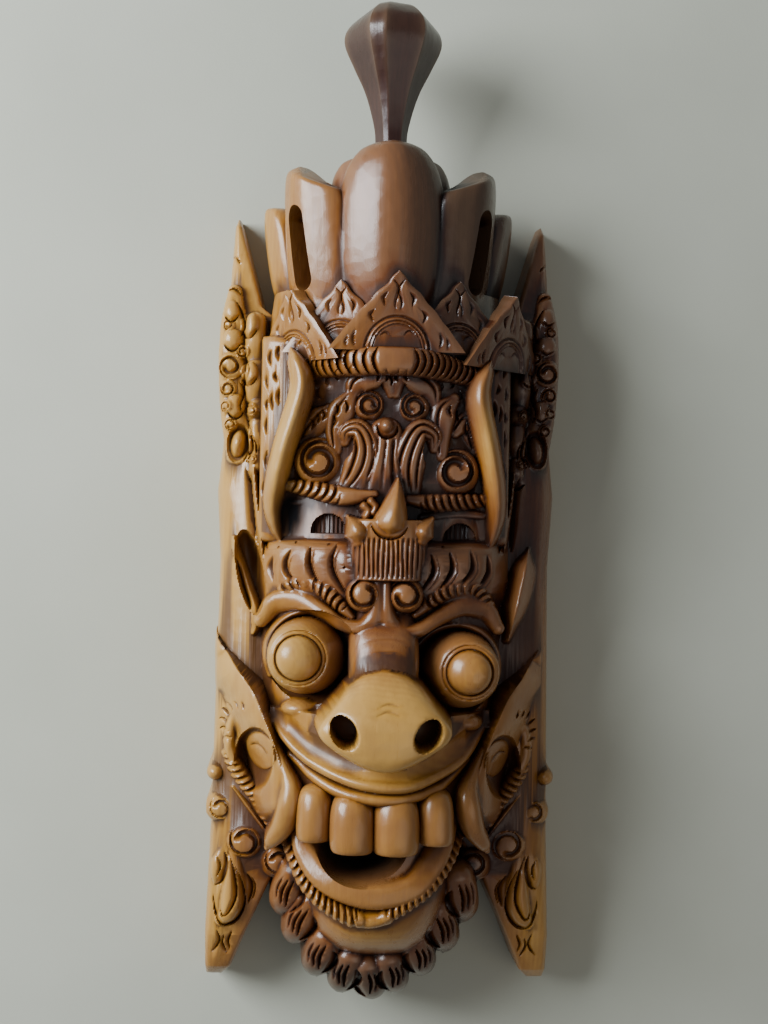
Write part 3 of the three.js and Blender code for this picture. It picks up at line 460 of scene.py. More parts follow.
# combed lines, |sin| a pitch apart and a little wavy
comb = np.abs(np.sin((x - tuft["middle"]) * np.pi / tuft["pitch"] + 0.3 * np.sin(h * 0.21 + x * 0.4)))
combed = np.clip((267 - h) / 2, 0, 1) * np.clip((h - 244) / 2, 0, 1)
z = z - tuft["cut"] * (1 - comb**0.8) * combed
raiseTo(spot, z - edgeFall(np.minimum(tuft["top"] - h, h - tuft["foot"]), 1.5) - np.maximum(u - 1, 0) * 600)
for petalTop in ([[-20, 277, 98, 1.2, 7], [-17, 273, 101, 5.0, 11], [-14.6, 268.5, 102, 7.2, 12],
                  [-13.6, 264, 101, 5.0, 9]],
                 [[25, 277, 98, 1.2, 7], [22, 273, 101, 4.6, 10], [19.6, 269.5, 102, 6.6, 11],
                  [18.4, 265.4, 101, 4.6, 9]]):
    addRoll(petalTop, power=1.8)
flowerBud = [[6.0, 298, 99, 0.8, 6], [5.6, 292, 102, 3.4, 9], [4.0, 281, 105, 7.4, 12], [2.2, 273, 105, 9.4, 12.5],
             [1.6, 268.5, 103, 6.0, 10]]
addRoll(flowerBud, power=1.7, count=60)
gouge([[-8.6, 274], [-4.0, 268.5], [2.0, 266.4], [7.6, 268], [11.6, 273]], 1.1, 3.0)
for path in ([[-11.6, 283], [-9.4, 280.6], [-10.4, 277.6]], [[-8.0, 285.5], [-5.8, 282.8], [-6.8, 279.6]]):
    addRoll([[p[0], p[1], 98, 2.2, 6] for p in path], power=2)

print("brows, eyes and nose")
ridge = [[2.2, 243, 99, 2.6, 9], [2.6, 232, 100, 3.0, 9.5], [4.2, 222.5, 100, 4.4, 9], [11.6, 218.2, 99, 3.4, 9],
         [21.5, 219.5, 97, 3.0, 9], [31, 225.5, 92, 3.4, 8.5], [43.5, 231.4, 86, 4.2, 7.5], [56.5, 229.2, 78, 4.6, 7],
         [65, 219, 72, 3.0, 6]]
for side, path in forSides(ridge):
    lower = 1.6 if side == right else 0
    addRoll([[x0 - 1.2, h0 - lower, z0, half * 1.35, thick] for x0, h0, z0, half, thick in path],
            power=2.4, count=60, blend=3)
ropeAbove = {"pitch": 4.15, "depth": 4.0, "bow": -0.45, "slant": 0.2, "share": 0.27, "from": 0.03, "to": 0.9}
addRoll([[-60, 227, 72, 3.0, 8], [-52.4, 237.4, 78, 4.8, 10], [-40.8, 241, 84, 5.2, 11], [-31.1, 237.4, 89, 5.0, 11],
         [-24.2, 231, 92, 4.4, 10], [-17, 223.5, 94, 2.4, 7]], power=2.4, beads=ropeAbove)
addRoll([[61, 226, 72, 3.0, 8], [55, 234.4, 77, 4.6, 10], [47.2, 239.6, 82, 5.2, 11], [34.6, 238.6, 88, 5.2, 11],
         [25.1, 233, 92, 4.6, 10], [17, 225.4, 94, 2.4, 7]], power=2.4, beads=dict(ropeAbove, bow=0.45, slant=-0.2))
for x0, hand, start in ((-10.6, 1, 0.6), (11.2, -1, 2.6)):
    addCurl(x0, 236.0, 9.8, 100, 12.5, hand, start, turns=1.15, groove=4.4)

# the eye's radius at each height over its foot; its middle leans out by tan(13 degrees)
eyeRadii = [[0, 20.8], [5, 20.3], [9, 19.3], [12.5, 17.8], [15.2, 16.2], [16.6, 15.0], [17.0, 12.0], [18.6, 11.6],
            [20.6, 10.2], [22.6, 7.8], [24.0, 4.6], [24.8, 0]]
eyes = {"places": {left: (-40.5, 201.4), right: (42.0, 195.4)}, "foot": 87, "lean": 0.231, "pupil": 4.4,
        # rings turned round the pupil: [radius, half width, depth]
        "rings": [[12.1, 0.5, 1.5], [14.6, 0.45, 1.0]]}
for side in (left, right):
    ex, eh = eyes["places"][side]
    sinkDome(ex * 0.93, eh, (26.0, 25.5), 15.0)
    # rim of the socket, from the cheek over the top and down beside the nose
    turn = np.radians(np.linspace(208, -40, 12) if side == left else np.linspace(-28, 220, 12))
    rimZ = np.interp(np.cos(turn) * -side, [-1, -0.4, 0.5, 1], [76, 84, 89, 86])
    rim = [[ex - 2.0 * side + 24.0 * math.cos(a), eh + 24.4 * math.sin(a), z - 7, 2.9, 9] for a, z in zip(turn, rimZ)]
    addRoll(rim, power=1.7, count=60)
    spot, x, h = window((ex - 28, eh - 28), (ex + 28, eh + 28))
    levels = np.linspace(0, 24.8, 90)
    radii = np.interp(levels, *np.array(eyeRadii).T)
    z = np.full(x.shape, outside)
    for low, high, lowR, highR in zip(levels[:-1], levels[1:], radii[:-1], radii[1:]):
        # between two discs: z = low + (high - low) f0 / (f0 - f1), f = radius - distance from the disc's middle
        f0 = lowR - np.hypot(x - ex - side * low * eyes["lean"], h - eh)
        f1 = highR - np.hypot(x - ex - side * high * eyes["lean"], h - eh)
        z = np.where(f0 >= 0, eyes["foot"] + low + (high - low) * np.clip(f0 / np.maximum(f0 - f1, 1e-6), 0, 1), z)
    r = np.hypot(x - ex - side * eyes["pupil"], h - eh)
    for ring, wide, deep in eyes["rings"]:
        z = z - deep * np.exp(-(((r - ring) / wide) ** 2))
    raiseTo(spot, z)
    # bag under the eye, with its small wrinkles
    addDome(ex * 1.07, eh - 28.6, 84, (10.5, 5.6, 12), blend=3)
    for k in range(5):
        gouge([[ex + (k - 2) * 2.6, eh - 38.0 - abs(k - 2) * 0.3], [ex + (k - 2) * 2.6 + 0.8, eh - 39.8],
               [ex + (k - 2) * 2.6, eh - 41.2]], 0.8, 1.6)

bridge = [[0.6, 226, 90, 15.5, 13], [0.6, 215, 94, 18.2, 18], [0.6, 203, 98, 18.8, 20], [0.6, 190, 102, 18.5, 22]]
addRoll(bridge, power=2.6)
for h0, reach in ((221, 12), (212.5, 14), (206.0, 12)):
    score([[-reach, h0 - 3.0], [-reach * 0.4, h0], [reach * 0.5, h0 + 0.4], [reach, h0 - 2.4]], 0.6, 0.35)

# height, half width, z at the top
snoutStations = [
    [147.6, 1.0, 142], [148.6, 8.0, 144], [150.6, 13.6, 146], [154, 19.6, 148], [158.5, 26.4, 149],
    [163, 31.8, 149.6], [167, 34.0, 149.6], [171, 33.4, 149.4], [175, 30.6, 148.4], [180, 26.4, 146],
    [185, 22.6, 142.5], [190, 18.8, 138], [194, 14.6, 134], [196.6, 9.6, 131], [198.0, 2.0, 129],
]
snoutMiddle, snoutRound = 0.8, 11
spot, x, h = window((-38, 143), (38, 199))
s = atHeight(snoutStations, h)
share = np.minimum(np.abs(x - snoutMiddle) / np.maximum(s[..., 1], 0.5), 1)
# section: z = top - 11 + 11 (1 - share^3)^(1/2), walled beyond
z = s[..., 2] - snoutRound + snoutRound * np.sqrt(1 - share**3)
inside = np.minimum(s[..., 1] - np.abs(x - snoutMiddle), np.minimum(h - 147.6, 198.0 - h) * 1.6)
raiseTo(spot, z - edgeFall(inside, 1.6, steep=14))
for path in ([[-3.9, 180.6], [2.4, 182.8], [8.4, 181.3]], [[-4.2, 176.9], [2.1, 179.2], [8.1, 177.3]]):
    score(path, 0.6, 0.7)
nostril = {"places": {left: (-20.2, 168.4), right: (22.4, 167.2)}, "half": (6.3, 8.7), "tilt": 0.5, "deep": 26}
for side, (nx, nh) in nostril["places"].items():
    spot, x, h = window((nx - 12, nh - 14), (nx + 12, nh + 14))
    tilt = nostril["tilt"] * side
    u = (x - nx) * math.cos(tilt) - (h - nh) * math.sin(tilt)
    v = (h - nh) * math.cos(tilt) + (x - nx) * math.sin(tilt)
    r = np.hypot(u / nostril["half"][0], v / nostril["half"][1])
    # a bore with a slightly eased edge
    bore = np.clip((1.05 - r) * 6.5, 0, 1) * nostril["deep"]
    block[spot] = block[spot] - bore - 0.5 * np.exp(-(((r - 1.08) / 0.08) ** 2))

print("mouth, teeth and chin")
lipUpper = [[-58, 165, 76, 2.2, 6], [-49.9, 156.3, 86, 3.0, 8], [-38.6, 147.6, 94, 3.6, 9.5],
            [-22.1, 140.6, 104, 4.0, 11], [-5.7, 136.8, 109, 4.2, 12], [13.5, 136.6, 109, 4.2, 12],
            [31.9, 142.5, 100, 3.8, 10.5], [45.1, 149.8, 90, 3.2, 9], [57, 164, 76, 2.2, 6]]
lipLower = [[-48, 147.5, 82, 2.4, 6], [-42.2, 143.5, 86, 3.0, 8], [-35.4, 138.6, 93, 3.6, 9.5],
            [-23.4, 132.8, 101, 4.2, 11], [-8.5, 129.6, 106, 4.6, 12], [10, 129.3, 106, 4.6, 12],
            [28.4, 133.4, 98, 4.0, 10.5], [36, 137.6, 92, 3.4, 9], [47, 146, 82, 2.4, 6]]
# the broad lip sweeps from the snout's foot down to its ridge
spot, x, h = window((-60, 132), (60, 172))
line = np.interp(x, [p[0] for p in lipUpper], [p[1] for p in lipUpper])
top = np.interp(x, [p[0] for p in lipUpper], [p[2] + p[4] for p in lipUpper])
over = h - line
raiseTo(spot, np.where(over > -1, top - 5.5 * np.sin(np.clip(over / 15, 0, 1) * np.pi * 0.8), outside), 1.5)
addRoll(lipUpper, count=70, power=2.2)
addRoll(lipLower, count=70, power=2.2)
lowerLip = [[-43.0, 113, 80, 5.0, 9], [-38.5, 96, 87, 6.6, 10], [-26, 82.4, 95, 7.2, 11], [-4, 75.8, 98, 7.4, 11.5],
            [17, 79.4, 96, 7.4, 11], [27.5, 90, 91, 7.6, 10.5], [33.0, 101, 87, 7.6, 10], [37.0, 114, 82, 6.6, 9]]
addRoll(lowerLip, count=70, power=3.4)

chinRope = {"pitch": 4.05, "depth": 3.6, "bow": 0.1, "slant": 0.55, "share": 0.3, "from": 0.0, "to": 0.985}
addRoll([[-50.5, 103, 75, 3.8, 7], [-43.5, 89.2, 86, 4.5, 8], [-37.8, 79.5, 92, 4.7, 8], [-27.6, 70.4, 97, 4.8, 8.5],
         [-14.4, 63.9, 100, 4.8, 8.5], [-9, 62.8, 100, 4.4, 8]], power=2.2, count=70, beads=chinRope)
addRoll([[-11, 62.9, 98, 4.4, 7.5], [-4, 62.4, 99, 4.6, 8], [5, 64.4, 99, 4.4, 8]], power=2.2)
addRoll([[45.2, 108, 75, 3.8, 7], [40.6, 98, 84, 4.4, 8], [35.6, 89.4, 90, 4.6, 8], [27.1, 79.6, 95, 4.8, 8.5],
         [14.2, 70.6, 99, 4.8, 8.5],
         [4.0, 65.0, 100, 4.4, 8]], power=2.2, count=70, beads=dict(chinRope, slant=-0.55))

print("cheeks, ears and jaw")
cheekFlap = [[85.5, 200.5, 54, 1.5, 5], [78.7, 192, 62, 3.6, 11], [69.3, 181.2, 71, 4.4, 14],
             [63.5, 169.5, 76, 4.4, 14], [55.8, 151.3, 80, 4.2, 14], [50.9, 135, 84, 4.2, 13],
             [48.8, 123.1, 88, 5.2, 12]]
cheekRope = [[84.5, 143, 50, 3.2, 7], [79.9, 135.3, 54, 4.0, 8], [74.2, 128.1, 58, 4.2, 8], [66.6, 119.9, 62, 4.2, 8],
             [61.8, 111.7, 64, 4.0, 8], [57.6, 105.5, 66, 3.2, 7]]
hollowRim = [[76, 168, 56, 3.0, 8], [81.5, 160, 53, 3.4, 8.5], [83, 147, 52, 3.2, 8], [78, 134, 54, 2.6, 6]]
jawLine = [[80.5, 124.5, 50, 2.6, 9], [70.5, 113, 54, 2.8, 9.5], [61, 100.5, 56, 2.2, 8]]
furRow = [[84.4, 151.0], [86.4, 155.4], [87.2, 160.4], [86.2, 165.6], [83.4, 169.4], [79.4, 171.6], [75.2, 172.4]]
for side in (left, right):
    lower = 0.0 if side == left else 2.0
    flap = [[p[0] * side, p[1] - lower, p[2] + p[4]] for p in cheekFlap]
    addLedge(flap if side == right else flap[::-1], gentle=0.5, bulge=0.055, steep=5.0)
    addRoll(onSide(hollowRim, side, lower), power=2.4, blend=4)
    # almond hollow in the cheek with a ball in it
    sinkDome(68.5 * side, 143.0 - lower, (11.2, 19.0), 15, tilt=0.16 * side)
    swellOn(65.0 * side, 147.5 - lower, 8.6, 11.0, 8)
    gouge(onSide([[71.5, 148.6], [66, 150.4], [60.5, 146.8]], side, lower), 1.0 * side, 2.8)
    addRoll(onSide(cheekRope, side, lower), power=2.2,
            beads={"pitch": 3.9, "depth": 4.0, "slant": 0.35 * side, "share": 0.3})
    addRoll(onSide(jawLine, side, lower), power=1.4)
    for fx, fh in furRow:
        toward = math.atan2(fh - 155, fx - 70)
        out, up = math.cos(toward), math.sin(toward)
        tuftCut = [[fx - 3.2 * out, fh - 3.2 * up], [fx + 0.2, fh + 0.9], [fx + 2.6 * out, fh + 2.6 * up]]
        gouge(onSide(tuftCut, side, lower), 1.0, 2.8)

fang = [[55.8, 151.3, 82, 2.0, 9], [50.6, 140, 87, 3.6, 10], [47.4, 130.5, 91, 6.0, 11], [48.2, 120.2, 92, 7.0, 11],
        [51.6, 109.4, 89, 6.2, 10], [57.6, 100.0, 84, 4.0, 7], [59.8, 96.2, 81, 1.8, 4]]
for side, path in forSides(fang):
    addRoll(path, power=2.4, count=60)

jawCurls = [  # x, h, radius, z, rise
    [87.6, 111.5, 7.6, 51, 7.0],
    [73.6, 94.0, 10.4, 54, 9.5],
    [54.6, 83.4, 9.0, 57, 8.5],
]
for side in (left, right):
    start = 1.9 if side == left else 1.2
    for jx, jh, radius, z0, rise in jawCurls:
        jx = jx * side * (1 if side == left else 1.015)
        # a body round each, then the button with its one turn of groove
        addDome(jx, jh, z0 - 8, (radius * 1.22, radius * 1.22, 12), power=3)
        addCurl(jx - 0.6 * side, jh + 0.4, radius, z0, rise, -side, start, turns=1.2, groove=radius * 0.4)
    # the bead at the edge of the board
    addDome(91.0 * side * boardWidth[side > 0], 131.5, 48, (5.0, 5.0, 9))

# ear: a trough with a thin bright rim on the left, a solid blade on the right
earRim = [[-83.0, 264, 50, 1.8, 9], [-81.8, 257, 52, 2.4, 10], [-78.4, 248, 55, 2.5, 10], [-74.8, 237, 58, 2.6, 10],
          [-70.5, 226, 60, 2.8, 11], [-68.6, 217, 60, 3.6, 11], [-70.6, 211, 56, 2.4, 9]]
addRoll(earRim, power=1.5, count=60)
sinkDome(-73.5, 245, (7.6, 24), 19, tilt=0.2)
earBlade = [[82.0, 261, 48, 3.0, 12], [79.4, 252, 52, 8.0, 18], [76.6, 240, 54, 9.6, 20], [73.6, 226, 56, 8.4, 19],
            [70.6, 210, 54, 4.0, 14]]
addRoll(earBlade, power=1.25, count=60)

print("boards")
wing = {
    # the swell of the wood that the bosses and scrolls are cut into: [x, h, z, half width, half thickness]
    "swell": [[86.5, 404, 40, 4.0, 6], [86.4, 385, 44, 7.5, 8], [86.0, 360, 45, 8.6, 9], [85.0, 335, 45, 8.0, 9],
              [83.0, 310, 46, 6.0, 8]],
    # bosses down the outer edge: [x, h, half across, half up, rise]
    "bosses": [[87.5, 392, 4.0, 5, 7], [86.6, 375.5, 4.8, 5.2, 9], [84.0, 338.0, 4.8, 5.8, 10],
               [77.2, 384, 4.6, 6.4, 9], [76.5, 356.5, 4.4, 5.4, 9]],
    # scrolls: [x, h, radius, rise, hand, start]
    "scrolls": [[87.4, 360.0, 7.8, 9.0, 1, 1.0], [88.6, 347.5, 5.0, 7.0, -1, 2.0], [89.4, 337.5, 3.8, 5.5, 1, 0.5],
                [86.6, 327.4, 4.0, 6.0, 1, 0.5], [80.6, 368.5, 4.0, 8.0, -1, 2.0], [74.9, 335.6, 3.8, 8.0, -1, 1.0],
                [89.0, 383.5, 3.6, 5.5, 1, 0.5], [74.0, 308.0, 3.0, 7.0, 1, 1.0]],
    # stacked barrels down the inner side: [x, top, bottom, half width]
    "barrels": [[73.5, 386, 363, 6.0], [73.0, 361, 341, 6.0], [72.0, 339, 330, 5.4], [71.5, 328, 312, 5.4],
                [71.5, 310, 297, 4.6]],
    # grooves: [path, width, depth]
    "grooves": [
        [[[79.5, 366], [77.6, 358], [80.2, 350], [78.6, 342]], 1.3, 3.0],
        [[[82.4, 352], [80.4, 346], [82.2, 338], [80.0, 332]], 1.3, 3.0],
        [[[77.4, 330], [75.6, 322], [74.8, 314], [77.4, 306]], 1.3, 3.0],
        [[[79.4, 327], [77.8, 320], [77.2, 313], [79.0, 306]], 1.0, 2.4],
        [[[86, 398], [83.0, 391], [80.6, 383], [82.8, 376]], 1.2, 3.4],
        [[[92.4, 424.5], [88.0, 424.0], [84.2, 420.2]], 1.4, 2.6],
        [[[91.0, 403.0], [86.5, 403.6], [82.0, 399.9]], 1.4, 2.6],
        [[[74.6, 322], [72.4, 316], [71.8, 310.5]], 0.8, 2.2],
        [[[76.2, 323], [74.2, 317], [73.6, 311.5]], 0.8, 2.2],
    ],
}
for side in (left, right):
    spread = boardWidth[side > 0]
    outward = lambda path: onSide(path, side, stretch=spread)
    for bx, top, bottom, half in wing["barrels"]:
        addRoll(outward([[bx, top, 49, half * 0.9, 8], [bx, (top + bottom) / 2, 50, half, 9.5],
                         [bx, bottom, 48, half * 0.9, 7]]), power=2.4)
        gouge(outward([[bx - half, bottom - 0.5], [bx, bottom - 2.2], [bx + half, bottom + 0.5]]), 1.2 * side, 3.6)
    addRoll(outward(wing["swell"]), power=2.6, blend=3)
    for bx, bh, rx, rh, rise in wing["bosses"]:
        gouge(outward([[bx + rx, bh - rh * 0.4], [bx, bh - rh * 1.1], [bx - rx, bh - rh * 0.4]]), 1.4, 3.4)
        swellOn(bx * side * spread, bh, rx * 1.15, rh * 1.15, rise * 0.42)
    # long teardrop boss in a sunk ring
    sinkDome(82.3 * side * spread, 317, (6.2, 11.0), 6, tilt=0.12 * side)
    addDome(82.3 * side * spread, 316.6, 42, (4.7, 9.4, 15), tilt=0.12 * side)
    for bx, bh, radius, rise, hand, start in wing["scrolls"]:
        carveCurl(bx * side * spread, bh, radius, rise * 0.35, hand * side, start, turns=1.4, groove=radius * 0.5)
    for path, width, depth in wing["grooves"]:
        gouge(outward(path), width * side, depth * 1.3)
    # thin crest from the scrolls down to the ear, the wood sunk on both sides of it
    gouge(onSide([[77.8, 303], [74.6, 286], [73.4, 270], [72.6, 258]], side), 3.0 * side, 5.0)
    gouge(onSide([[69.2, 303], [66.4, 282], [63.4, 258]], side), -2.6 * side, 9.0)
    addRoll(onSide([[72.8, 303, 54, 1.6, 7], [71.2, 290, 57, 2.0, 9], [69.5, 278, 59, 2.2, 9],
                    [67.6, 264, 61, 2.2, 9], [65.9, 252, 62, 1.2, 7]], side), power=1.3)

horn = [[52.5, 367, 82, 1.6, 8], [50.0, 361, 86, 4.6, 12], [46.8, 352, 87, 6.4, 15], [46.6, 343, 87, 7.0, 16],
        [50.2, 330, 85, 7.0, 16], [55.0, 314, 82, 6.8, 16], [59.0, 297, 79, 6.4, 15], [60.8, 283, 76, 5.6, 13],
        [59.0, 270, 73, 3.8, 10], [55.5, 261.5, 70, 1.4, 7]]
flankCuts = [
    [[59.0, 347.0], [60.2, 342.0], [58.8, 336.5]],
    [[62.6, 345.0], [63.8, 340.0], [62.4, 334.0]],
    [[61.2, 356.0], [62.0, 353.0], [60.2, 349.5]],
    [[65.8, 341.0], [66.6, 337.5], [65.6, 334.0]],
    [[65.2, 313.0], [66.4, 307.0], [65.4, 301.0]], [[66.0, 355.0], [67.0, 350.5], [65.6, 346.0]],
    [[64.2, 368.0], [65.4, 363.0], [63.8, 358.5]], [[59.8, 370.0], [60.8, 365.5], [59.4, 361.0]],
    [[65.6, 331.0], [66.8, 325.5], [65.4, 320.0]], [[66.6, 296.0], [67.6, 290.5], [66.2, 284.5]],
]
for side, path in forSides(horn):
    # the flank beside the horn: z = 63 + 15 (1 - |u|^2.4)^(1/2), u = (|x| - 50) / 20, then the horn
    lower = 0 if side == left else 4
    spot, x, h = window((-71, 262), (-46, 376)) if side == left else window((46, 262), (71, 376))
    u = np.minimum(np.abs(np.abs(x) - 50) / 20, 1)
    ends = np.minimum(h - 262, 376 - h)
    raiseTo(spot, 63 + 15 * np.sqrt(1 - u**2.4) - edgeFall(ends, 6, 4) - np.maximum(np.abs(x) - 69, 0) * 20)
    for cut in flankCuts:
        gouge(onSide(cut, side, lower), 1.3 * side, 3.2)
    shift = 0 if side == left else 3.0
    addRoll([[p[0] + shift * np.clip((p[1] - 280) / 60, 0, 1), p[1] - lower] + p[2:] for p in path],
            power=1.8, count=80)

print("legs and beard")
legLeaf = [[79, 90, 50, 3.0, 8], [78.6, 76, 49, 6.0, 10], [79.2, 62, 47, 7.4, 11], [81.5, 53, 45, 6.6, 11],
           [85.5, 47.5, 43, 4.6, 9]]
legSideLeaf = [[86, 90, 46, 2.0, 7], [88.4, 81, 46, 4.0, 9], [89.0, 73, 45, 3.6, 9], [90.0, 67, 43, 1.2, 6]]
# gouges down each leg: [path, width, depth]
legCuts = [
    [[[82.9, 88], [80.0, 76], [78.8, 63.9], [81.4, 55.5], [84.6, 51.2], [86.4, 56.1]], 1.9, 4.6],
    [[[78.9, 81], [75.3, 70], [74.4, 57.9], [77.9, 48.7], [83.9, 45.2], [88.6, 51.5], [90.7, 62.1]], 1.7, 4.2],
    [[[72.6, 76], [69.9, 67.5], [71.4, 57]], 1.5, 3.6],
    [[[69.9, 74], [67.9, 67.5], [68.9, 59]], 1.0, 2.6],
    [[[84.8, 88], [84.0, 79.7], [86.4, 70.5], [90.4, 67.0]], 1.5, 4.2],
    [[[89.4, 85], [87.6, 79.0], [89.0, 72.5]], 1.0, 2.6],
    [[[88.8, 41], [88.1, 34], [91.8, 26.5]], 1.3, 3.2],
    [[[84.9, 38.5], [86.4, 32.1], [83.0, 25.5]], 1.4, 3.2],
    [[[80.1, 41], [82.9, 34.4], [81.5, 28.5]], 1.2, 3.0],
]
for side in (left, right):
    stretch = 1.0 if side == left else 1.02
    for path in (legLeaf, legSideLeaf):
        addRoll(onSide(path, side, stretch=stretch), power=2.4, blend=2)
    for path, width, depth in legCuts:
        gouge(onSide(path, side, stretch=stretch), width * side, depth)
beardLeaves = [  # tip x, tip h, root x, root h, half width, z at the root
    [-1.8, 0.4, -3.5, 26, 8.6, 52], [-16.6, 4.2, -13, 31, 8.6, 53], [11.6, 4.6, 8, 30, 8.6, 53],
    [-31.5, 14.0, -26, 42, 9.2, 55], [26.5, 15.0, 22, 41, 9.0, 55], [-45.0, 32.6, -36, 62, 9.0, 57],
    [40.2, 28.9, 33, 59, 9.2, 57], [-51.0, 49.0, -44, 79, 9.0, 59], [49.3, 46.4, 45, 78, 9.0, 59],
]
for tx, th, rx, rh, half, z0 in beardLeaves:
    side = 1 if tx > -3 else -1
    at = lambda u, v: [tx + (rx - tx) * v + u * half * side, th + (rh - th) * v]
    addRoll([at(0, 0) + [z0 - 22, 1.2, 9], at(0.1, 0.14) + [z0 - 14, half * 0.66, 12],
             at(0.15, 0.36) + [z0 - 7, half * 1.08, 14], at(0.1, 0.7) + [z0 - 1, half * 1.15, 15],
             at(0, 1) + [z0 + 3, half * 1.1, 15]], power=2.5, count=40)
    # and a small lobe beside it
    addRoll([at(-0.62, 0.2) + [z0 - 12, 1.0, 8], at(-0.7, 0.42) + [z0 - 7, half * 0.42, 11],
             at(-0.6, 0.75) + [z0, half * 0.5, 12], at(-0.35, 1) + [z0 + 3, half * 0.4, 11]], power=1.8, count=30)
    # almond scoop low on the inner side, three crescents up the outer side
    for line, width, depth in (
            ([at(-0.42, 0.82), at(-0.62, 0.55), at(-0.1, 0.24)], 2.6, 5.2),
            ([at(0.05, 0.95), at(0.3, 0.66), at(0.12, 0.34)], 1.5, 4.2),
            ([at(0.42, 0.95), at(0.66, 0.68), at(0.46, 0.4)], 1.3, 3.8),
            ([at(0.78, 0.98), at(0.98, 0.74), at(0.84, 0.5)], 1.1, 3.2)):
        gouge(line, width * side, depth)

print("closing the block")
block = np.maximum(block, outside)
# the relief ends one cell inside the sides and the foot of the solid's own box
sideLimits = [(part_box("mask")[end][0] - faceMiddle) * 1000 / across for end in (0, 1)]
block[:, (gridX < sideLimits[0] + cell) | (gridX > sideLimits[1] - cell)] = outside
block[gridH < cell] = outside


def meshOf(name, points, faces):
    # points as an array of three columns, faces as an array with a column for each corner
    mesh = bpy.data.meshes.new(name)
    mesh.vertices.add(len(points))
    mesh.vertices.foreach_set("co", np.asarray(points, np.float32).ravel())
    mesh.loops.add(faces.size)
    mesh.loops.foreach_set("vertex_index", faces.ravel().astype(np.int32))
    mesh.polygons.add(len(faces))
    mesh.polygons.foreach_set("loop_start", np.arange(0, faces.size, faces.shape[1], dtype=np.int32))
    mesh.update(calc_edges=True)
    return mesh


def objectOf(name, points, faces):
    made = bpy.data.objects.new(name, meshOf(name, points, faces))
    bpy.context.collection.objects.link(made)
    return made


def gridFaces(rows, cols, wrap=False):
    # quads (a, a + 1, a + 1 + cols, a + cols) over a grid of points kept row by row
    i = np.arange(rows - 1)[:, None] * cols
    j = np.arange(cols if wrap else cols - 1)[None, :]
    k = (j + 1) % cols
    return np.stack([i + j, i + k, i + cols + k, i + cols + j], axis=-1).reshape(-1, 4)


def closedRings(name, rings):
    # rings of points joined by quads, with a fan over each end: all triangles
    rings = np.asarray(rings, float)
    rows, cols = rings.shape[:2]
    quads = gridFaces(rows, cols, wrap=True)
    k = np.arange(cols)
    ends = [np.stack([(k + 1) % cols, k, np.full(cols, rows * cols)], 1),
            np.stack([(rows - 1) * cols + k, (rows - 1) * cols + (k + 1) % cols, np.full(cols, rows * cols + 1)], 1)]
    points = np.vstack([rings.reshape(-1, 3), rings[0].mean(0), rings[-1].mean(0)])
    faces = np.vstack([quads[:, [0, 1, 2]], quads[:, [0, 2, 3]]] + ends)
    # outward: the signed volume sum(a . (b x c)) / 6 must be above zero
    a, b, c = (points[faces[:, n]] for n in range(3))
    if np.einsum("ij,ij->i", a, np.cross(b, c)).sum() < 0:
        faces = faces[:, ::-1]
    return objectOf(name, toFrame(points), faces)


def combined(base, others, how):
    # one boolean after another; the tool solids are dropped
    for other in others:
        cut = base.modifiers.new(how.lower(), "BOOLEAN")
        cut.operation = how
        cut.solver = "MANIFOLD"
        cut.object = other
    made = bpy.data.meshes.new_from_object(base.evaluated_get(bpy.context.evaluated_depsgraph_get()))
    base.modifiers.clear()
    base.data = made
    for other in others:
        bpy.data.objects.remove(other)
    return base


rows, cols = block.shape
x, h = np.meshgrid(gridX, gridH)
surface = np.stack([x, h, block], axis=-1).reshape(-1, 3)
quads = gridFaces(rows, cols)
border = np.concatenate([np.arange(cols), np.arange(1, rows) * cols + cols - 1,
                         (rows - 1) * cols + np.arange(cols - 2, -1, -1), np.arange(rows - 2, 0, -1) * cols])
fan = np.stack([np.roll(border, -1), border, np.full(len(border), len(surface))], 1)
points = np.vstack([surface, [[0, 230, outside - 4]]])
faces = np.vstack([quads[:, [0, 1, 2]], quads[:, [0, 2, 3]], fan])
mask = objectOf("barongMask", toFrame(points), faces)


def slab(name, low, high):
    # plain block between two corners
    x0, h0, z0 = low
    x1, h1, z1 = high
    ring = lambda z: [[x0, h0, z], [x1, h0, z], [x1, h1, z], [x0, h1, z]]
    return closedRings(name, [ring(z0), ring(z1)])


wall = 27  # wood left between the face and the hollow of the back
hollowStations = [[56, 6, 0.2], [74, 22, 0.64], [100, 35, 0.93], [150, 60, 0.95], [210, 71, 1], [290, 70, 1],
                  [350, 56, 0.94], [395, 42, 0.97], [428, 37, 0.83], [444, 22, 0.5], [450, 6, 0.17]]
h = np.linspace(56, 450, 90)
s = atHeight(hollowStations, h)
turn = np.linspace(0, np.pi, 40)
hollowX = -s[:, 1:2] * np.cos(turn)[None]
deep = (skin(np.zeros(len(h)), h) - wall) * s[:, 2]
hollowZ = deep[:, None] * np.maximum(1 - np.abs(np.cos(turn)) ** 2.6, 0)[None] ** (1 / 2.6)
# gouge scallops over the hollow's face
hollowZ = hollowZ + 0.5 * np.abs(np.sin(hollowX * 0.33 + 0.4 * np.sin(h[:, None] * 0.11))) * (hollowZ > 1)
hollowRings = np.stack([hollowX, np.broadcast_to(h[:, None], hollowX.shape), hollowZ], axis=-1)
low = np.full(len(h), -4.0)
under = np.stack([np.stack([s[:, 1], h, low], 1), np.stack([-s[:, 1], h, low], 1)], 1)
hollow = closedRings("hollow", np.concatenate([hollowRings, under], axis=1))

mouthSizes = {"middle": -8.5, "half": 26.5, "level": 108, "down": 27, "up": 13,
              # z and share of the size: a little wider towards the front
              "steps": [[12, 0.9], [80, 0.94], [100, 0.985], [112, 1.03], [135, 1.1]]}
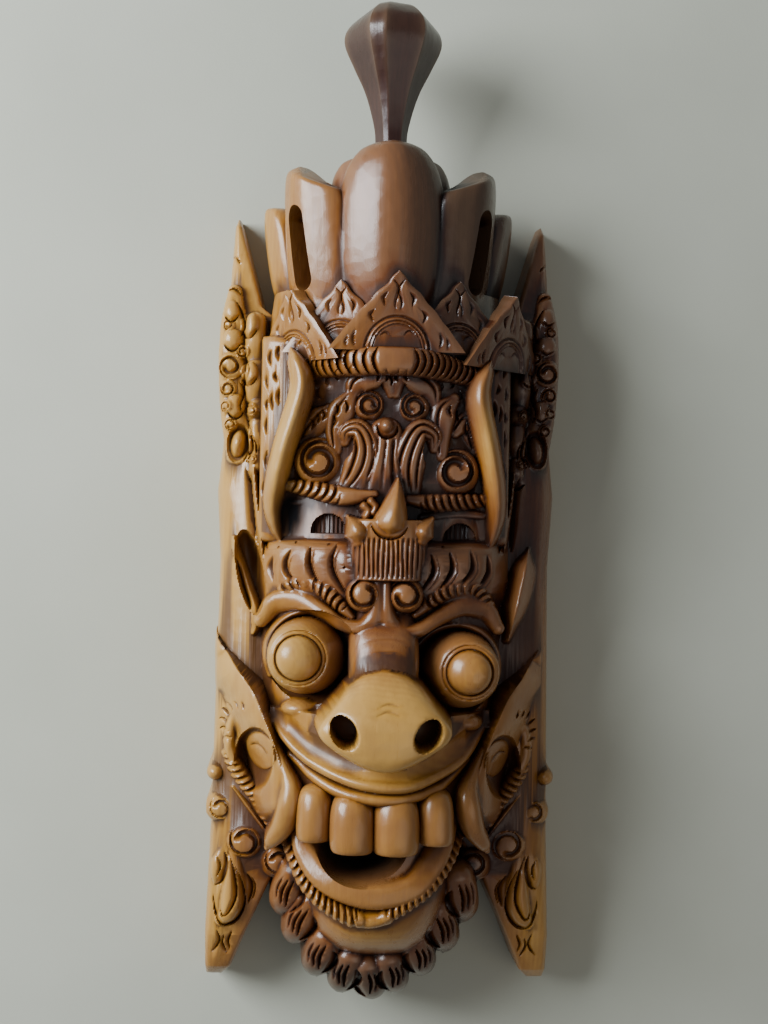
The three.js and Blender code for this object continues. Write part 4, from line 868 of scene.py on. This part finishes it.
# x = middle + half cos, h = level - down |sin|^0.8 below and + up |sin|^0.6 above
angle = np.linspace(0, 2 * np.pi, 120, endpoint=False)
dip = np.abs(np.sin(angle))
mouthH = np.where(np.sin(angle) < 0, -mouthSizes["down"] * dip**0.8, mouthSizes["up"] * dip**0.6)
mouthRings = [np.stack([mouthSizes["middle"] + mouthSizes["half"] * grow * np.cos(angle),
                        mouthSizes["level"] + mouthH * grow, np.full(len(angle), z)], 1)
              for z, grow in mouthSizes["steps"]]
mouth = closedRings("mouth", mouthRings)

print("crown")
crownAxis = 34  # z of the line that the crown's petals stand round


def turned(angle):
    # directions round the crown's axis: out = (sin, 0, cos), along = (cos, 0, -sin)
    return np.array([math.sin(angle), 0, math.cos(angle)]), np.array([math.cos(angle), 0, -math.sin(angle)])


petalStations = [[0, 0.8], [0.35, 0.97], [0.66, 0.985], [0.85, 0.85], [0.95, 0.62], [0.985, 0.38], [1, 0.05]]
petals = [  # turn, distance from the axis, half width, foot, top, bulge, thickness, flare, corner, roundness
    [0, 56, 29.5, 374, 480.5, 15, 12, 2, 0, 1],
    [-46, 57, 24, 370, 463, 9, 12, 7, 7, 0.3],
    [46, 57, 24, 370, 463, 9, 12, 7, 7, 0.3],
    [-25, 41, 20, 400, 475, 7, 9, 3, 0, 1],
    [25, 41, 20, 400, 475, 7, 9, 3, 0, 1],
    [-84, 60, 19, 380, 452, 6, 9, 8, 0, 1],
    [84, 60, 19, 380, 452, 6, 9, 8, 0, 1],
]


def petal(turnDegrees, reach, halfWidth, foot, top, bulge, thickness, flare, corner, roundness):
    # section at share u: along s w, out reach + flare u^2 + bulge w (1 - s^2), rounded at the rim
    out, along = turned(math.radians(turnDegrees))
    u = np.concatenate([np.linspace(0, 0.8, 40), np.linspace(0.81, 1, 34)])
    w = atHeight(petalStations, u)[:, 1] ** roundness
    angle = np.linspace(0, 2 * np.pi, 96, endpoint=False)
    s = np.sign(np.cos(angle)) * np.abs(np.cos(angle)) ** 0.8
    lift = np.abs(np.sin(angle)) ** 0.55
    front = np.sin(angle) > 0
    depth = np.where(front, bulge * w[:, None] * (1 - s**2) + thickness / 2 * (lift - 1), -thickness / 2 * (lift + 1))
    # two soft valleys down the front
    depth = depth - np.where(front, 0.5 * np.exp(-((np.abs(s) - 0.55) / 0.2) ** 2) * np.clip(u[:, None] * 3, 0, 1), 0)
    rise = corner * np.sign(turnDegrees) * u**2
    height = foot + (top - foot) * u[:, None] + s * rise[:, None]
    # drawn in towards the axis at the foot, 14 (1 - u)^5
    distance = reach + flare * u[:, None] ** 2 + depth - 14 * (1 - u[:, None]) ** 5
    flat = distance[..., None] * out + (s * halfWidth * w[:, None])[..., None] * along
    flat[..., 1] = height
    flat[..., 2] += crownAxis
    return closedRings("petal", flat)


barrel = np.array([[386, 0.98], [396, 1.03], [410, 1.04], [430, 1.03], [446, 1.0], [457, 0.9], [463, 0.78]])
turn = np.linspace(np.pi, 0, 60)
core = []
for height, share in barrel:
    arc = np.stack([np.cos(turn) * 52 * share, np.full(60, height), crownAxis + np.sin(turn) * 52 * share], 1)
    core.append(np.vstack([[[52 * share, height, 0], [-52 * share, height, 0]], arc]))
crownParts = [closedRings("core", core)] + [petal(*p) for p in petals]


slotSizes = {"half": 6.75, "straight": 15.75, "middle": 423, "turn": 47, "lean": -6,
             # distance from the axis and share of the width
             "steps": [[20, 1.0], [50, 1.0], [60, 1.0], [84, 1.12]]}


def slot(side):
    # a rounded slot, x = half cos, h = half sin + straight on either side, run out from the axis
    angle = np.linspace(0, 2 * np.pi, 48, endpoint=False)
    straight = np.where(np.sin(angle) >= 0, slotSizes["straight"], -slotSizes["straight"])
    px, py = np.cos(angle) * slotSizes["half"], np.sin(angle) * slotSizes["half"] + straight
    lean = math.radians(slotSizes["lean"]) * side
    px, py = px * math.cos(lean) - py * math.sin(lean), px * math.sin(lean) + py * math.cos(lean)
    out, along = turned(math.radians(slotSizes["turn"]) * side)
    rings = []
    for reach, grow in slotSizes["steps"]:
        ring = reach * out + (px * grow)[:, None] * along
        ring[:, 1] = slotSizes["middle"] + py * grow
        ring[:, 2] += crownAxis - 2
        rings.append(ring)
    return closedRings("slot", rings)


crownLeaves = [  # apex x, apex h, foot, half width, z, thickness, turn, lean
    [4, 408.5, 366, 37, 101, 8, 4, 5],
    [-26, 404.5, 366, 34, 91, 8, -18, 2],
    [37.5, 405.5, 366, 34, 89, 8, 22, 2],
    [-50, 402, 361, 34, 80, 9, -50, 7],
    [65, 400, 359, 36, 76, 9, 50, 7],
]
# cuts on a leaf, in shares of its half width and height, one flank only: [path, width, depth]
leafCuts = [
    [[[0.10, 0.90], [0.02, 0.78], [0.06, 0.60], [0.03, 0.50]], 0.9, 1.6],
    [[[0.16, 0.74], [0.24, 0.66], [0.20, 0.55]], 1.2, 1.8],
    [[[0.34, 0.52], [0.42, 0.44], [0.36, 0.34]], 1.2, 1.8],
    [[[0.62, 0.26], [0.66, 0.14], [0.62, 0.03]], 1.1, 1.6],
    [[[0.72, 0.20], [0.76, 0.10], [0.73, 0.02]], 0.9, 1.2],
]


def leafRelief(px, py, halfWidth, tall):
    # arches: grooves where the distance from the middle of the foot is 0.46, 0.405 and 0.36 of the half width
    r = np.hypot(px, py / 1.06) / halfWidth
    relief = np.zeros(px.shape)
    for ring, wide, deep in ((0.46, 0.020, 1.6), (0.405, 0.016, 1.3), (0.36, 0.014, 1.3)):
        relief -= deep * np.exp(-(((r - ring) / wide) ** 2))
    relief += 1.2 * np.clip((0.475 - r) / 0.03, 0, 1) - 1.0 * np.clip((0.36 - r) / 0.03, 0, 1)
    for flank in (-1, 1):
        for path, width, depth in leafCuts:
            line = [[a * halfWidth * flank, b * tall] for a, b in (path if flank > 0 else path[::-1])]
            relief -= gougeDepth(px, py, line, width, depth)
        line = [[flank * a * halfWidth, b * tall] for a, b in ((0.26, 0.19), (0.17, 0.24), (0.08, 0.18))]
        relief -= gougeDepth(px, py, line, 0.8, 1.0)
    return relief


def crownLeaf(apexX, apex, foot, halfWidth, z0, thickness, turnDegrees, lean):
    # half width (1 - t) + 0.04 sin(pi t) + 0.018 sin(9 pi t) t: nearly straight flanks, a little scalloped to the tip
    tall = apex - foot
    t = np.concatenate([np.linspace(0, 0.9, 90), np.linspace(0.905, 1, 20)])
    width = halfWidth * np.maximum(1 - t + 0.04 * np.sin(np.pi * t) + 0.018 * np.sin(9 * np.pi * t) * t, 0.012)
    y = tall * t
    front = np.linspace(-1, 1, 100)
    px = np.concatenate([front, [0.8, -0.8]])[None] * width[:, None]
    py = np.broadcast_to(y[:, None], px.shape)
    pz = np.zeros(px.shape)
    pz[:, :100] = leafRelief(px[:, :100], py[:, :100], halfWidth, tall) * np.clip((1 - np.abs(front)) * 12, 0, 1)
    pz[:, :100] -= 1.2 * np.abs(front) ** 6
    pz[:, 100:] = -thickness
    a, b = math.atan2(lean, tall), math.radians(turnDegrees)
    y2, z2 = py * math.cos(a) - pz * math.sin(a), py * math.sin(a) + pz * math.cos(a)
    x3, z3 = px * math.cos(b) + z2 * math.sin(b), z2 * math.cos(b) - px * math.sin(b)
    return closedRings("leaf", np.stack([x3 + apexX, y2 + foot, z3 + z0], axis=-1))


crownParts += [crownLeaf(*leaf) for leaf in crownLeaves]


def tooth(x0, top, bottom, half, front, lean):
    # barrel: x = |cos|^0.88, z = |sin|^0.88 of the half width and thickness, narrowed at both ends
    shape = np.array([[0, 0.3, 0.3], [0.05, 0.66, 0.66], [0.14, 0.88, 0.87], [0.35, 1.03, 1.02], [0.7, 1.06, 1.05],
                      [0.87, 1.03, 1.0], [0.95, 0.97, 0.92], [0.985, 0.86, 0.78], [1, 0.6, 0.5]])
    u = np.concatenate([np.linspace(0, 0.8, 24), np.linspace(0.82, 1, 20)])
    wide, thick = (atHeight(shape[:, [0, k]], u)[:, 1] for k in (1, 2))
    angle = np.linspace(0, 2 * np.pi, 72, endpoint=False)
    square = lambda v: np.sign(v) * np.abs(v) ** 0.88
    px = x0 + square(np.cos(angle))[None] * half * wide[:, None] + lean * (u[:, None] - 0.5)
    pz = front - 13 + square(np.sin(angle))[None] * 13 * thick[:, None]
    py = np.broadcast_to((top + (bottom - top) * u)[:, None], px.shape)
    return closedRings("tooth", np.stack([px, py, pz], axis=-1))


teethRow = [[-34.4, 134, 104.0, 9.2, 111, -0.4], [-14.4, 131.5, 99.4, 11.4, 119, 0.4],
            [8.6, 131.5, 99.0, 11.9, 119.5, 0.4], [29.8, 133.5, 103.2, 9.4, 113, 0.8]]

mask = combined(mask, crownParts, "UNION")
mask = combined(mask, [slab("floorCut", (-140, -40, -30), (140, 520, 0)), hollow, mouth, slot(left), slot(right)],
                "DIFFERENCE")
mask = combined(mask, [tooth(*t) for t in teethRow], "UNION")
print("mask before thinning:", len(mask.data.polygons))


def thin(thing, most):
    # collapse edges until fewer than `most` triangles are left
    mesh = thing.data
    sizes = np.empty(len(mesh.polygons), np.int32)
    mesh.polygons.foreach_get("loop_total", sizes)
    count = int((sizes - 2).sum())
    if count > most:
        less = thing.modifiers.new("thin", "DECIMATE")
        less.ratio = most / count
        less.use_collapse_triangulate = True
        made = bpy.data.meshes.new_from_object(thing.evaluated_get(bpy.context.evaluated_depsgraph_get()))
        thing.modifiers.clear()
        thing.data = made
    return thing


def dropFlaps(thing):
    # the collapse leaves a few pairs of triangles back to back on the same three corners: drop both of each pair
    mesh = thing.data
    corners = np.empty(len(mesh.loops), np.int32)
    mesh.loops.foreach_get("vertex_index", corners)
    corners = corners.reshape(-1, 3)
    key = np.sort(corners, axis=1)
    _, which, count = np.unique(key, axis=0, return_inverse=True, return_counts=True)
    keep = (count[which] == 1) & (key[:, 0] != key[:, 1]) & (key[:, 1] != key[:, 2])
    points = np.empty(len(mesh.vertices) * 3, np.float32)
    mesh.vertices.foreach_get("co", points)
    used, faces = np.unique(corners[keep], return_inverse=True)
    thing.data = meshOf(thing.name, points.reshape(-1, 3)[used], faces.reshape(-1, 3))
    print("flaps dropped:", int((~keep).sum()), "mesh mended by Blender:", thing.data.validate())
    return thing


mask = dropFlaps(thin(mask, 196000))
print("mask after thinning:", len(mask.data.polygons))

print("finial")
finialSizes = {
    "axis": 50.0, "seat": 463.3, "top": 566.2, "neck": 8.47, "flare": 27.4, "drawn": 104, "slant": 6,
    # height up the drawing, share of the way from the neck to the flare
    "stations": [[0, 0.04], [29, 0.03], [42, 0.16], [55, 0.38], [68, 0.71], [81, 1], [89, 0.94], [96.5, 0.58],
                 [101, 0.19], [104, -0.3]],
    # where the flats meet, in degrees from the front
    "corners": [-88, -30, -11, 38, 90, 135, 180, 225, 272],
}
u = np.linspace(0, 1, 120)[:, None]
share = atHeight(finialSizes["stations"], u[:, 0] * finialSizes["drawn"])[:, 1:]
radius = finialSizes["neck"] + (finialSizes["flare"] - finialSizes["neck"]) * share
turn = np.linspace(0, 2 * np.pi, 144, endpoint=False)
# eight flats between uneven corners: cos(half span) / cos(angle from the middle of the flat)
corners = np.radians(finialSizes["corners"])
angle = (turn - corners[0]) % (2 * np.pi) + corners[0]
i = np.clip(np.searchsorted(corners, angle, side="right") - 1, 0, len(corners) - 2)
ring = radius * np.cos((corners[i + 1] - corners[i]) / 2) / np.cos(angle - (corners[i] + corners[i + 1]) / 2)
# the top is cut at a slant, higher in front: slant u^4 cos(turn) r / flare
rise = finialSizes["slant"] * u**4 * np.cos(turn) * ring / finialSizes["flare"]
height = finialSizes["seat"] + (finialSizes["top"] - finialSizes["seat"]) * u + rise
finialRings = np.stack([np.sin(turn) * ring, height, finialSizes["axis"] + np.cos(turn) * ring], axis=-1)
finial = closedRings("finial", finialRings)

print("marks for the wood")


def neighbourMean(values, a, b, degree):
    # each point's mean over the points at the other ends of its edges
    total = np.zeros_like(values)
    for k in range(values.shape[1]):
        total[:, k] = np.bincount(a, values[b, k], len(values)) + np.bincount(b, values[a, k], len(values))
    return total / degree[:, None]


def markWood(thing, pale=0.0):
    # writes four marks on the points: sunk, the wood's tone with some painted shade, ring and scorch
    mesh = thing.data
    mesh.shade_smooth()
    points = np.empty(len(mesh.vertices) * 3, np.float32)
    mesh.vertices.foreach_get("co", points)
    points = points.reshape(-1, 3).astype(float)
    normals = np.empty(len(mesh.vertices) * 3, np.float32)
    mesh.vertices.foreach_get("normal", normals)
    normals = normals.reshape(-1, 3)
    edges = np.empty(len(mesh.edges) * 2, np.int32)
    mesh.edges.foreach_get("vertices", edges)
    a, b = edges.reshape(-1, 2).T
    degree = np.maximum(np.bincount(a, minlength=len(points)) + np.bincount(b, minlength=len(points)), 1)
    # sunk = (smoothed place - place) . normal, above zero in a groove
    smooth = points.copy()
    for _ in range(10):
        smooth = neighbourMean(smooth, a, b, degree)
    sunk = ((smooth - points) * normals).sum(1) * 1000
    sunk = np.clip(sunk / 0.8, -1, 1)
    x = (points[:, 0] - faceMiddle) * 1000 / across
    h = (points[:, 1] - beardTip) * 1000
    z = points[:, 2] * 1000
    # the log's pith runs up behind the face and leans to the right
    pithX, pithZ = np.interp(h, [0, 470], [-2, 30]), np.interp(h, [0, 470], [22, 60])
    ring = np.hypot(x - pithX, z - pithZ)
    heartAndShade = np.interp(ring, [35, 48, 60, 74, 88, 110], [0.02, 0.2, 0.42, 0.62, 0.78, 0.95])
    # paler and darker patches, among them painted shade on the right board
    for cx, ch, cz, reachX, reachH, shift in woodAndShadePatches:
        heartAndShade = heartAndShade + shift * np.exp(-((x - cx) / reachX) ** 2 - ((h - ch) / reachH) ** 2 - ((z - cz) / 30) ** 2)
    scorch = np.exp(-((x + 51.5) / 6.5) ** 2 - ((h - 277) / 12) ** 2) * 1.7
    crack = np.exp(-((x + 19.5 + (h - 205) * 0.22) / 1.7) ** 2 - ((h - 205) / 13) ** 2)
    for name, values in (("sunk", sunk), ("heartAndShade", np.clip(heartAndShade + pale, 0, 1)), ("ring", ring),
                         ("scorch", np.clip(scorch + crack, 0, 1))):
        layer = mesh.attributes.new(name, "FLOAT", "POINT")
        layer.data.foreach_set("value", values.astype(np.float32))


# where the wood is paler or darker than its place in the log says, with painted shade on the right board: [x, h, z,
# reach across, reach up, shift]
woodAndShadePatches = [
    [0, 172, 150, 34, 26, 0.12], [-43, 202, 110, 22, 22, 0.12], [44, 196, 110, 22, 22, 0.1],
    [-54, 315, 95, 7, 50, 0.34], [54, 318, 97, 7, 42, 0.42], [-84, 310, 45, 17, 130, 0.16],
    # the two right-board rows with a shift below zero are partly darker wood, partly painted shade on the side away
    # from the window
    [-82, 190, 50, 18, 60, 0.14], [90, 340, 45, 24, 90, -0.38], [86, 265, 50, 16, 22, -0.08],
    [88, 170, 50, 16, 50, 0.06], [0, 48, 85, 36, 20, 0.44], [0, 150, 100, 52, 20, 0.24], [0, 116, 112, 44, 12, -0.14],
    [-20, 175, 95, 40, 16, 0.12], [0, 212, 112, 18, 16, -0.14], [0, 15, 45, 70, 26, -0.34],
    [-52, 50, 55, 14, 26, -0.2], [52, 50, 55, 12, 26, -0.2], [-88, 50, 45, 12, 40, 0.22], [90, 45, 45, 12, 36, 0.14],
    [68, 95, 60, 14, 22, -0.2], [-68, 95, 60, 12, 18, -0.16], [0, 320, 95, 44, 46, 0.14], [0, 385, 95, 75, 18, 0.04],
    [0, 440, 100, 30, 36, 0.02], [52, 430, 75, 26, 40, -0.08], [0, 250, 102, 60, 14, -0.22],
    [3, 275, 114, 18, 16, 0.06], [0, 90, 80, 34, 16, -0.05],
]
markWood(mask)
markWood(finial, -0.5)
mask.data.set_sharp_from_angle(angle=math.radians(55))
finial.data.set_sharp_from_angle(angle=math.radians(18))


def wire(tree, kind, links=(), **settings):
    # one shader node: `settings` are its own fields, `links` pairs of (input, value or other node's output)
    made = tree.nodes.new(kind)
    for name, value in settings.items():
        setattr(made, name, value)
    for socket, value in links:
        if isinstance(value, bpy.types.NodeSocket):
            tree.links.new(value, made.inputs[socket])
        else:
            made.inputs[socket].default_value = value
    return made


def ramp(tree, fac, stops):
    made = wire(tree, "ShaderNodeValToRGB", [(0, fac)])
    elements = made.color_ramp.elements
    while len(elements) < len(stops):
        elements.new(0.5)
    for element, (place, colour) in zip(elements, stops):
        element.position = place
        element.color = (*colour, 1)
    return made.outputs[0]


def maths(tree, how, a, b=0.0, c=0.0, clamp=False):
    return wire(tree, "ShaderNodeMath", [(0, a), (1, b), (2, c)], operation=how, use_clamp=clamp).outputs[0]


def mixed(tree, how, fac, a, b):
    made = wire(tree, "ShaderNodeMix", [(0, fac), (6, a), (7, b)], data_type="RGBA", blend_type=how)
    return made.outputs[2]


def woodMaterial(name, stops, roughness):
    # colour = stops at the wood's tone (with its painted shade) + 0.16 (fine - 0.5) + 0.34 (broad - 0.5) + 0.022 wave
    material = bpy.data.materials.new(name)
    material.use_nodes = True
    tree = material.node_tree
    shader = tree.nodes["Principled BSDF"]
    place = wire(tree, "ShaderNodeTexCoord").outputs["Object"]
    field = lambda which: wire(tree, "ShaderNodeAttribute", attribute_name=which).outputs["Fac"]
    sunk, heartAndShade, ring, scorch = (field(which) for which in ("sunk", "heartAndShade", "ring", "scorch"))
    streak = wire(tree, "ShaderNodeMapping", [("Vector", place), ("Scale", (420, 14, 420))]).outputs[0]
    fine = wire(tree, "ShaderNodeTexNoise", [("Vector", streak), ("Scale", 1.0), ("Detail", 5.0), ("Roughness", 0.6)])
    fine = fine.outputs["Fac"]
    broadPlace = wire(tree, "ShaderNodeMapping", [("Vector", place), ("Scale", (26, 7, 26))]).outputs[0]
    broad = wire(tree, "ShaderNodeTexNoise", [("Vector", broadPlace), ("Scale", 1.0), ("Detail", 3.0)]).outputs["Fac"]
    # growth rings: sin(2.4 ring + 9 broad)
    wave = maths(tree, "SINE", maths(tree, "MULTIPLY_ADD", ring, 2.4, maths(tree, "MULTIPLY", broad, 9.0)))
    value = maths(tree, "MULTIPLY_ADD", maths(tree, "SUBTRACT", fine, 0.5), 0.16, heartAndShade)
    value = maths(tree, "MULTIPLY_ADD", maths(tree, "SUBTRACT", broad, 0.5), 0.34, value)
    value = maths(tree, "MULTIPLY_ADD", wave, 0.022, value, clamp=True)
    colour = ramp(tree, value, stops)
    # old wax and dust, and painted shade in the hollows, darken the cuts; rubbed edges are a little paler
    dirtAndShade = maths(tree, "MULTIPLY", sunk, 0.85, clamp=True)
    colour = mixed(tree, "MULTIPLY", dirtAndShade, colour, (0.16, 0.10, 0.08, 1))
    worn = maths(tree, "MULTIPLY", sunk, -0.2, clamp=True)
    colour = mixed(tree, "SCREEN", worn, colour, (0.30, 0.19, 0.10, 1))
    colour = mixed(tree, "MIX", scorch, colour, (0.012, 0.011, 0.012, 1))
    gloss = maths(tree, "MULTIPLY_ADD", maths(tree, "SUBTRACT", broad, 0.5), 0.22, roughness)
    gloss = maths(tree, "MULTIPLY_ADD", fine, 0.10, gloss)
    gloss = maths(tree, "MULTIPLY_ADD", dirtAndShade, 0.25, gloss)
    gloss = maths(tree, "MULTIPLY_ADD", scorch, 0.4, gloss, clamp=True)
    facets = wire(tree, "ShaderNodeTexVoronoi", [("Vector", place), ("Scale", 150.0)]).outputs["Distance"]
    bump = wire(tree, "ShaderNodeBump", [("Height", facets), ("Strength", 0.22), ("Distance", 0.0009)])
    bump = wire(tree, "ShaderNodeBump", [("Height", fine), ("Strength", 0.30), ("Distance", 0.0004),
                                         ("Normal", bump.outputs[0])])
    dull = maths(tree, "SUBTRACT", 1.0, scorch, clamp=True)
    for socket, source in (("Base Color", colour), ("Roughness", gloss), ("Normal", bump.outputs[0]),
                           ("Coat Weight", maths(tree, "MULTIPLY", dull, 0.22)),
                           ("Specular IOR Level", maths(tree, "MULTIPLY", dull, 0.5))):
        tree.links.new(source, shader.inputs[socket])
    shader.inputs["Coat Roughness"].default_value = 0.2
    shader.inputs["IOR"].default_value = 1.5
    return material


woodStops = [(0.0, (0.026, 0.008, 0.004)), (0.22, (0.076, 0.022, 0.007)), (0.42, (0.136, 0.040, 0.008)),
             (0.6, (0.200, 0.068, 0.009)), (0.78, (0.275, 0.110, 0.012)), (1.0, (0.43, 0.222, 0.040))]
darkStops = [(0.0, (0.030, 0.009, 0.006)), (0.5, (0.098, 0.031, 0.017)), (1.0, (0.17, 0.058, 0.028))]
wood = woodMaterial("wood", woodStops, 0.25)
darkWood = woodMaterial("darkWood", darkStops, 0.25)
for thing, material, node, slotName in ((mask, wood, "mask", "wood"), (finial, darkWood, "finial", "dark_wood")):
    thing.data.materials.clear()
    thing.data.materials.append(material)
    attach(thing, "root")
    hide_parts(node)

print("floor, light and camera")
floorHalf, floorDrop = 3.0, 0.0005
ground = objectOf("ground", np.array([[x, y, -floorDrop] for x, y in ((-floorHalf, -floorHalf), (floorHalf, -floorHalf),
                                                                     (floorHalf, floorHalf), (-floorHalf, floorHalf))]),
                  np.array([[0, 1, 2, 3]]))
paper = bpy.data.materials.new("paper")
paper.use_nodes = True
tree = paper.node_tree
place = wire(tree, "ShaderNodeTexCoord").outputs["Object"]
mottle = wire(tree, "ShaderNodeTexNoise", [("Vector", place), ("Scale", 6.0), ("Detail", 6.0)])
tree.links.new(ramp(tree, mottle.outputs["Fac"], [(0.3, (0.45, 0.455, 0.37)), (0.7, (0.51, 0.515, 0.425))]),
               tree.nodes["Principled BSDF"].inputs["Base Color"])
grainBump = wire(tree, "ShaderNodeTexNoise", [("Vector", place), ("Scale", 900.0), ("Detail", 3.0)])
bump = wire(tree, "ShaderNodeBump", [("Height", grainBump.outputs["Fac"]), ("Strength", 0.2), ("Distance", 0.0003)])
tree.links.new(bump.outputs[0], tree.nodes["Principled BSDF"].inputs["Normal"])
tree.nodes["Principled BSDF"].inputs["Roughness"].default_value = 0.85
ground.data.materials.append(paper)

world = bpy.data.worlds.new("studio")
bpy.context.scene.world = world
world.use_nodes = True
world.node_tree.nodes["Background"].inputs["Color"].default_value = (0.80, 0.86, 0.95, 1)
world.node_tree.nodes["Background"].inputs["Strength"].default_value = 0.22


def softLight(name, place, size, power, colour):
    # a rectangle of light turned towards the middle of the mask
    data = bpy.data.lights.new(name, "AREA")
    data.shape = "RECTANGLE"
    data.size, data.size_y = size
    data.energy = power
    data.color = colour
    lamp = bpy.data.objects.new(name, data)
    bpy.context.collection.objects.link(lamp)
    lamp.location = place
    lamp.rotation_euler = (Vector((0, 0, 0.05)) - Vector(place)).to_track_quat("-Z", "Y").to_euler()


softLight("window", (-1.05, 0.42, 0.70), (0.75, 1.0), 42, (0.88, 0.94, 1.0))
softLight("room", (0.7, -0.6, 1.4), (1.2, 1.2), 3.5, (1.0, 0.90, 0.78))

view = {"target": (-0.00137, -0.0035, 0.05), "eyeFromTarget": (-0.02975, 0, 0.85), "roll": 1.27, "focal": 1500,
        "pictureHeight": 1024, "film": 36}
target = Vector(view["target"])
eye = target + Vector(view["eyeFromTarget"])
forward = (target - eye).normalized()
rightWay = forward.cross(Vector((0, 1, 0))).normalized()
upWay = rightWay.cross(forward)
roll = math.radians(view["roll"])
sideways = rightWay * math.cos(roll) + upWay * math.sin(roll)
upright = upWay * math.cos(roll) - rightWay * math.sin(roll)
cameraData = bpy.data.cameras.new("camera")
cameraData.sensor_fit = "VERTICAL"
cameraData.sensor_height = view["film"]
cameraData.lens = view["film"] * view["focal"] / view["pictureHeight"]
camera = bpy.data.objects.new("camera", cameraData)
bpy.context.collection.objects.link(camera)
camera.matrix_world = Matrix.Translation(eye) @ Matrix((sideways, upright, -forward)).transposed().to_4x4()
bpy.context.scene.camera = camera
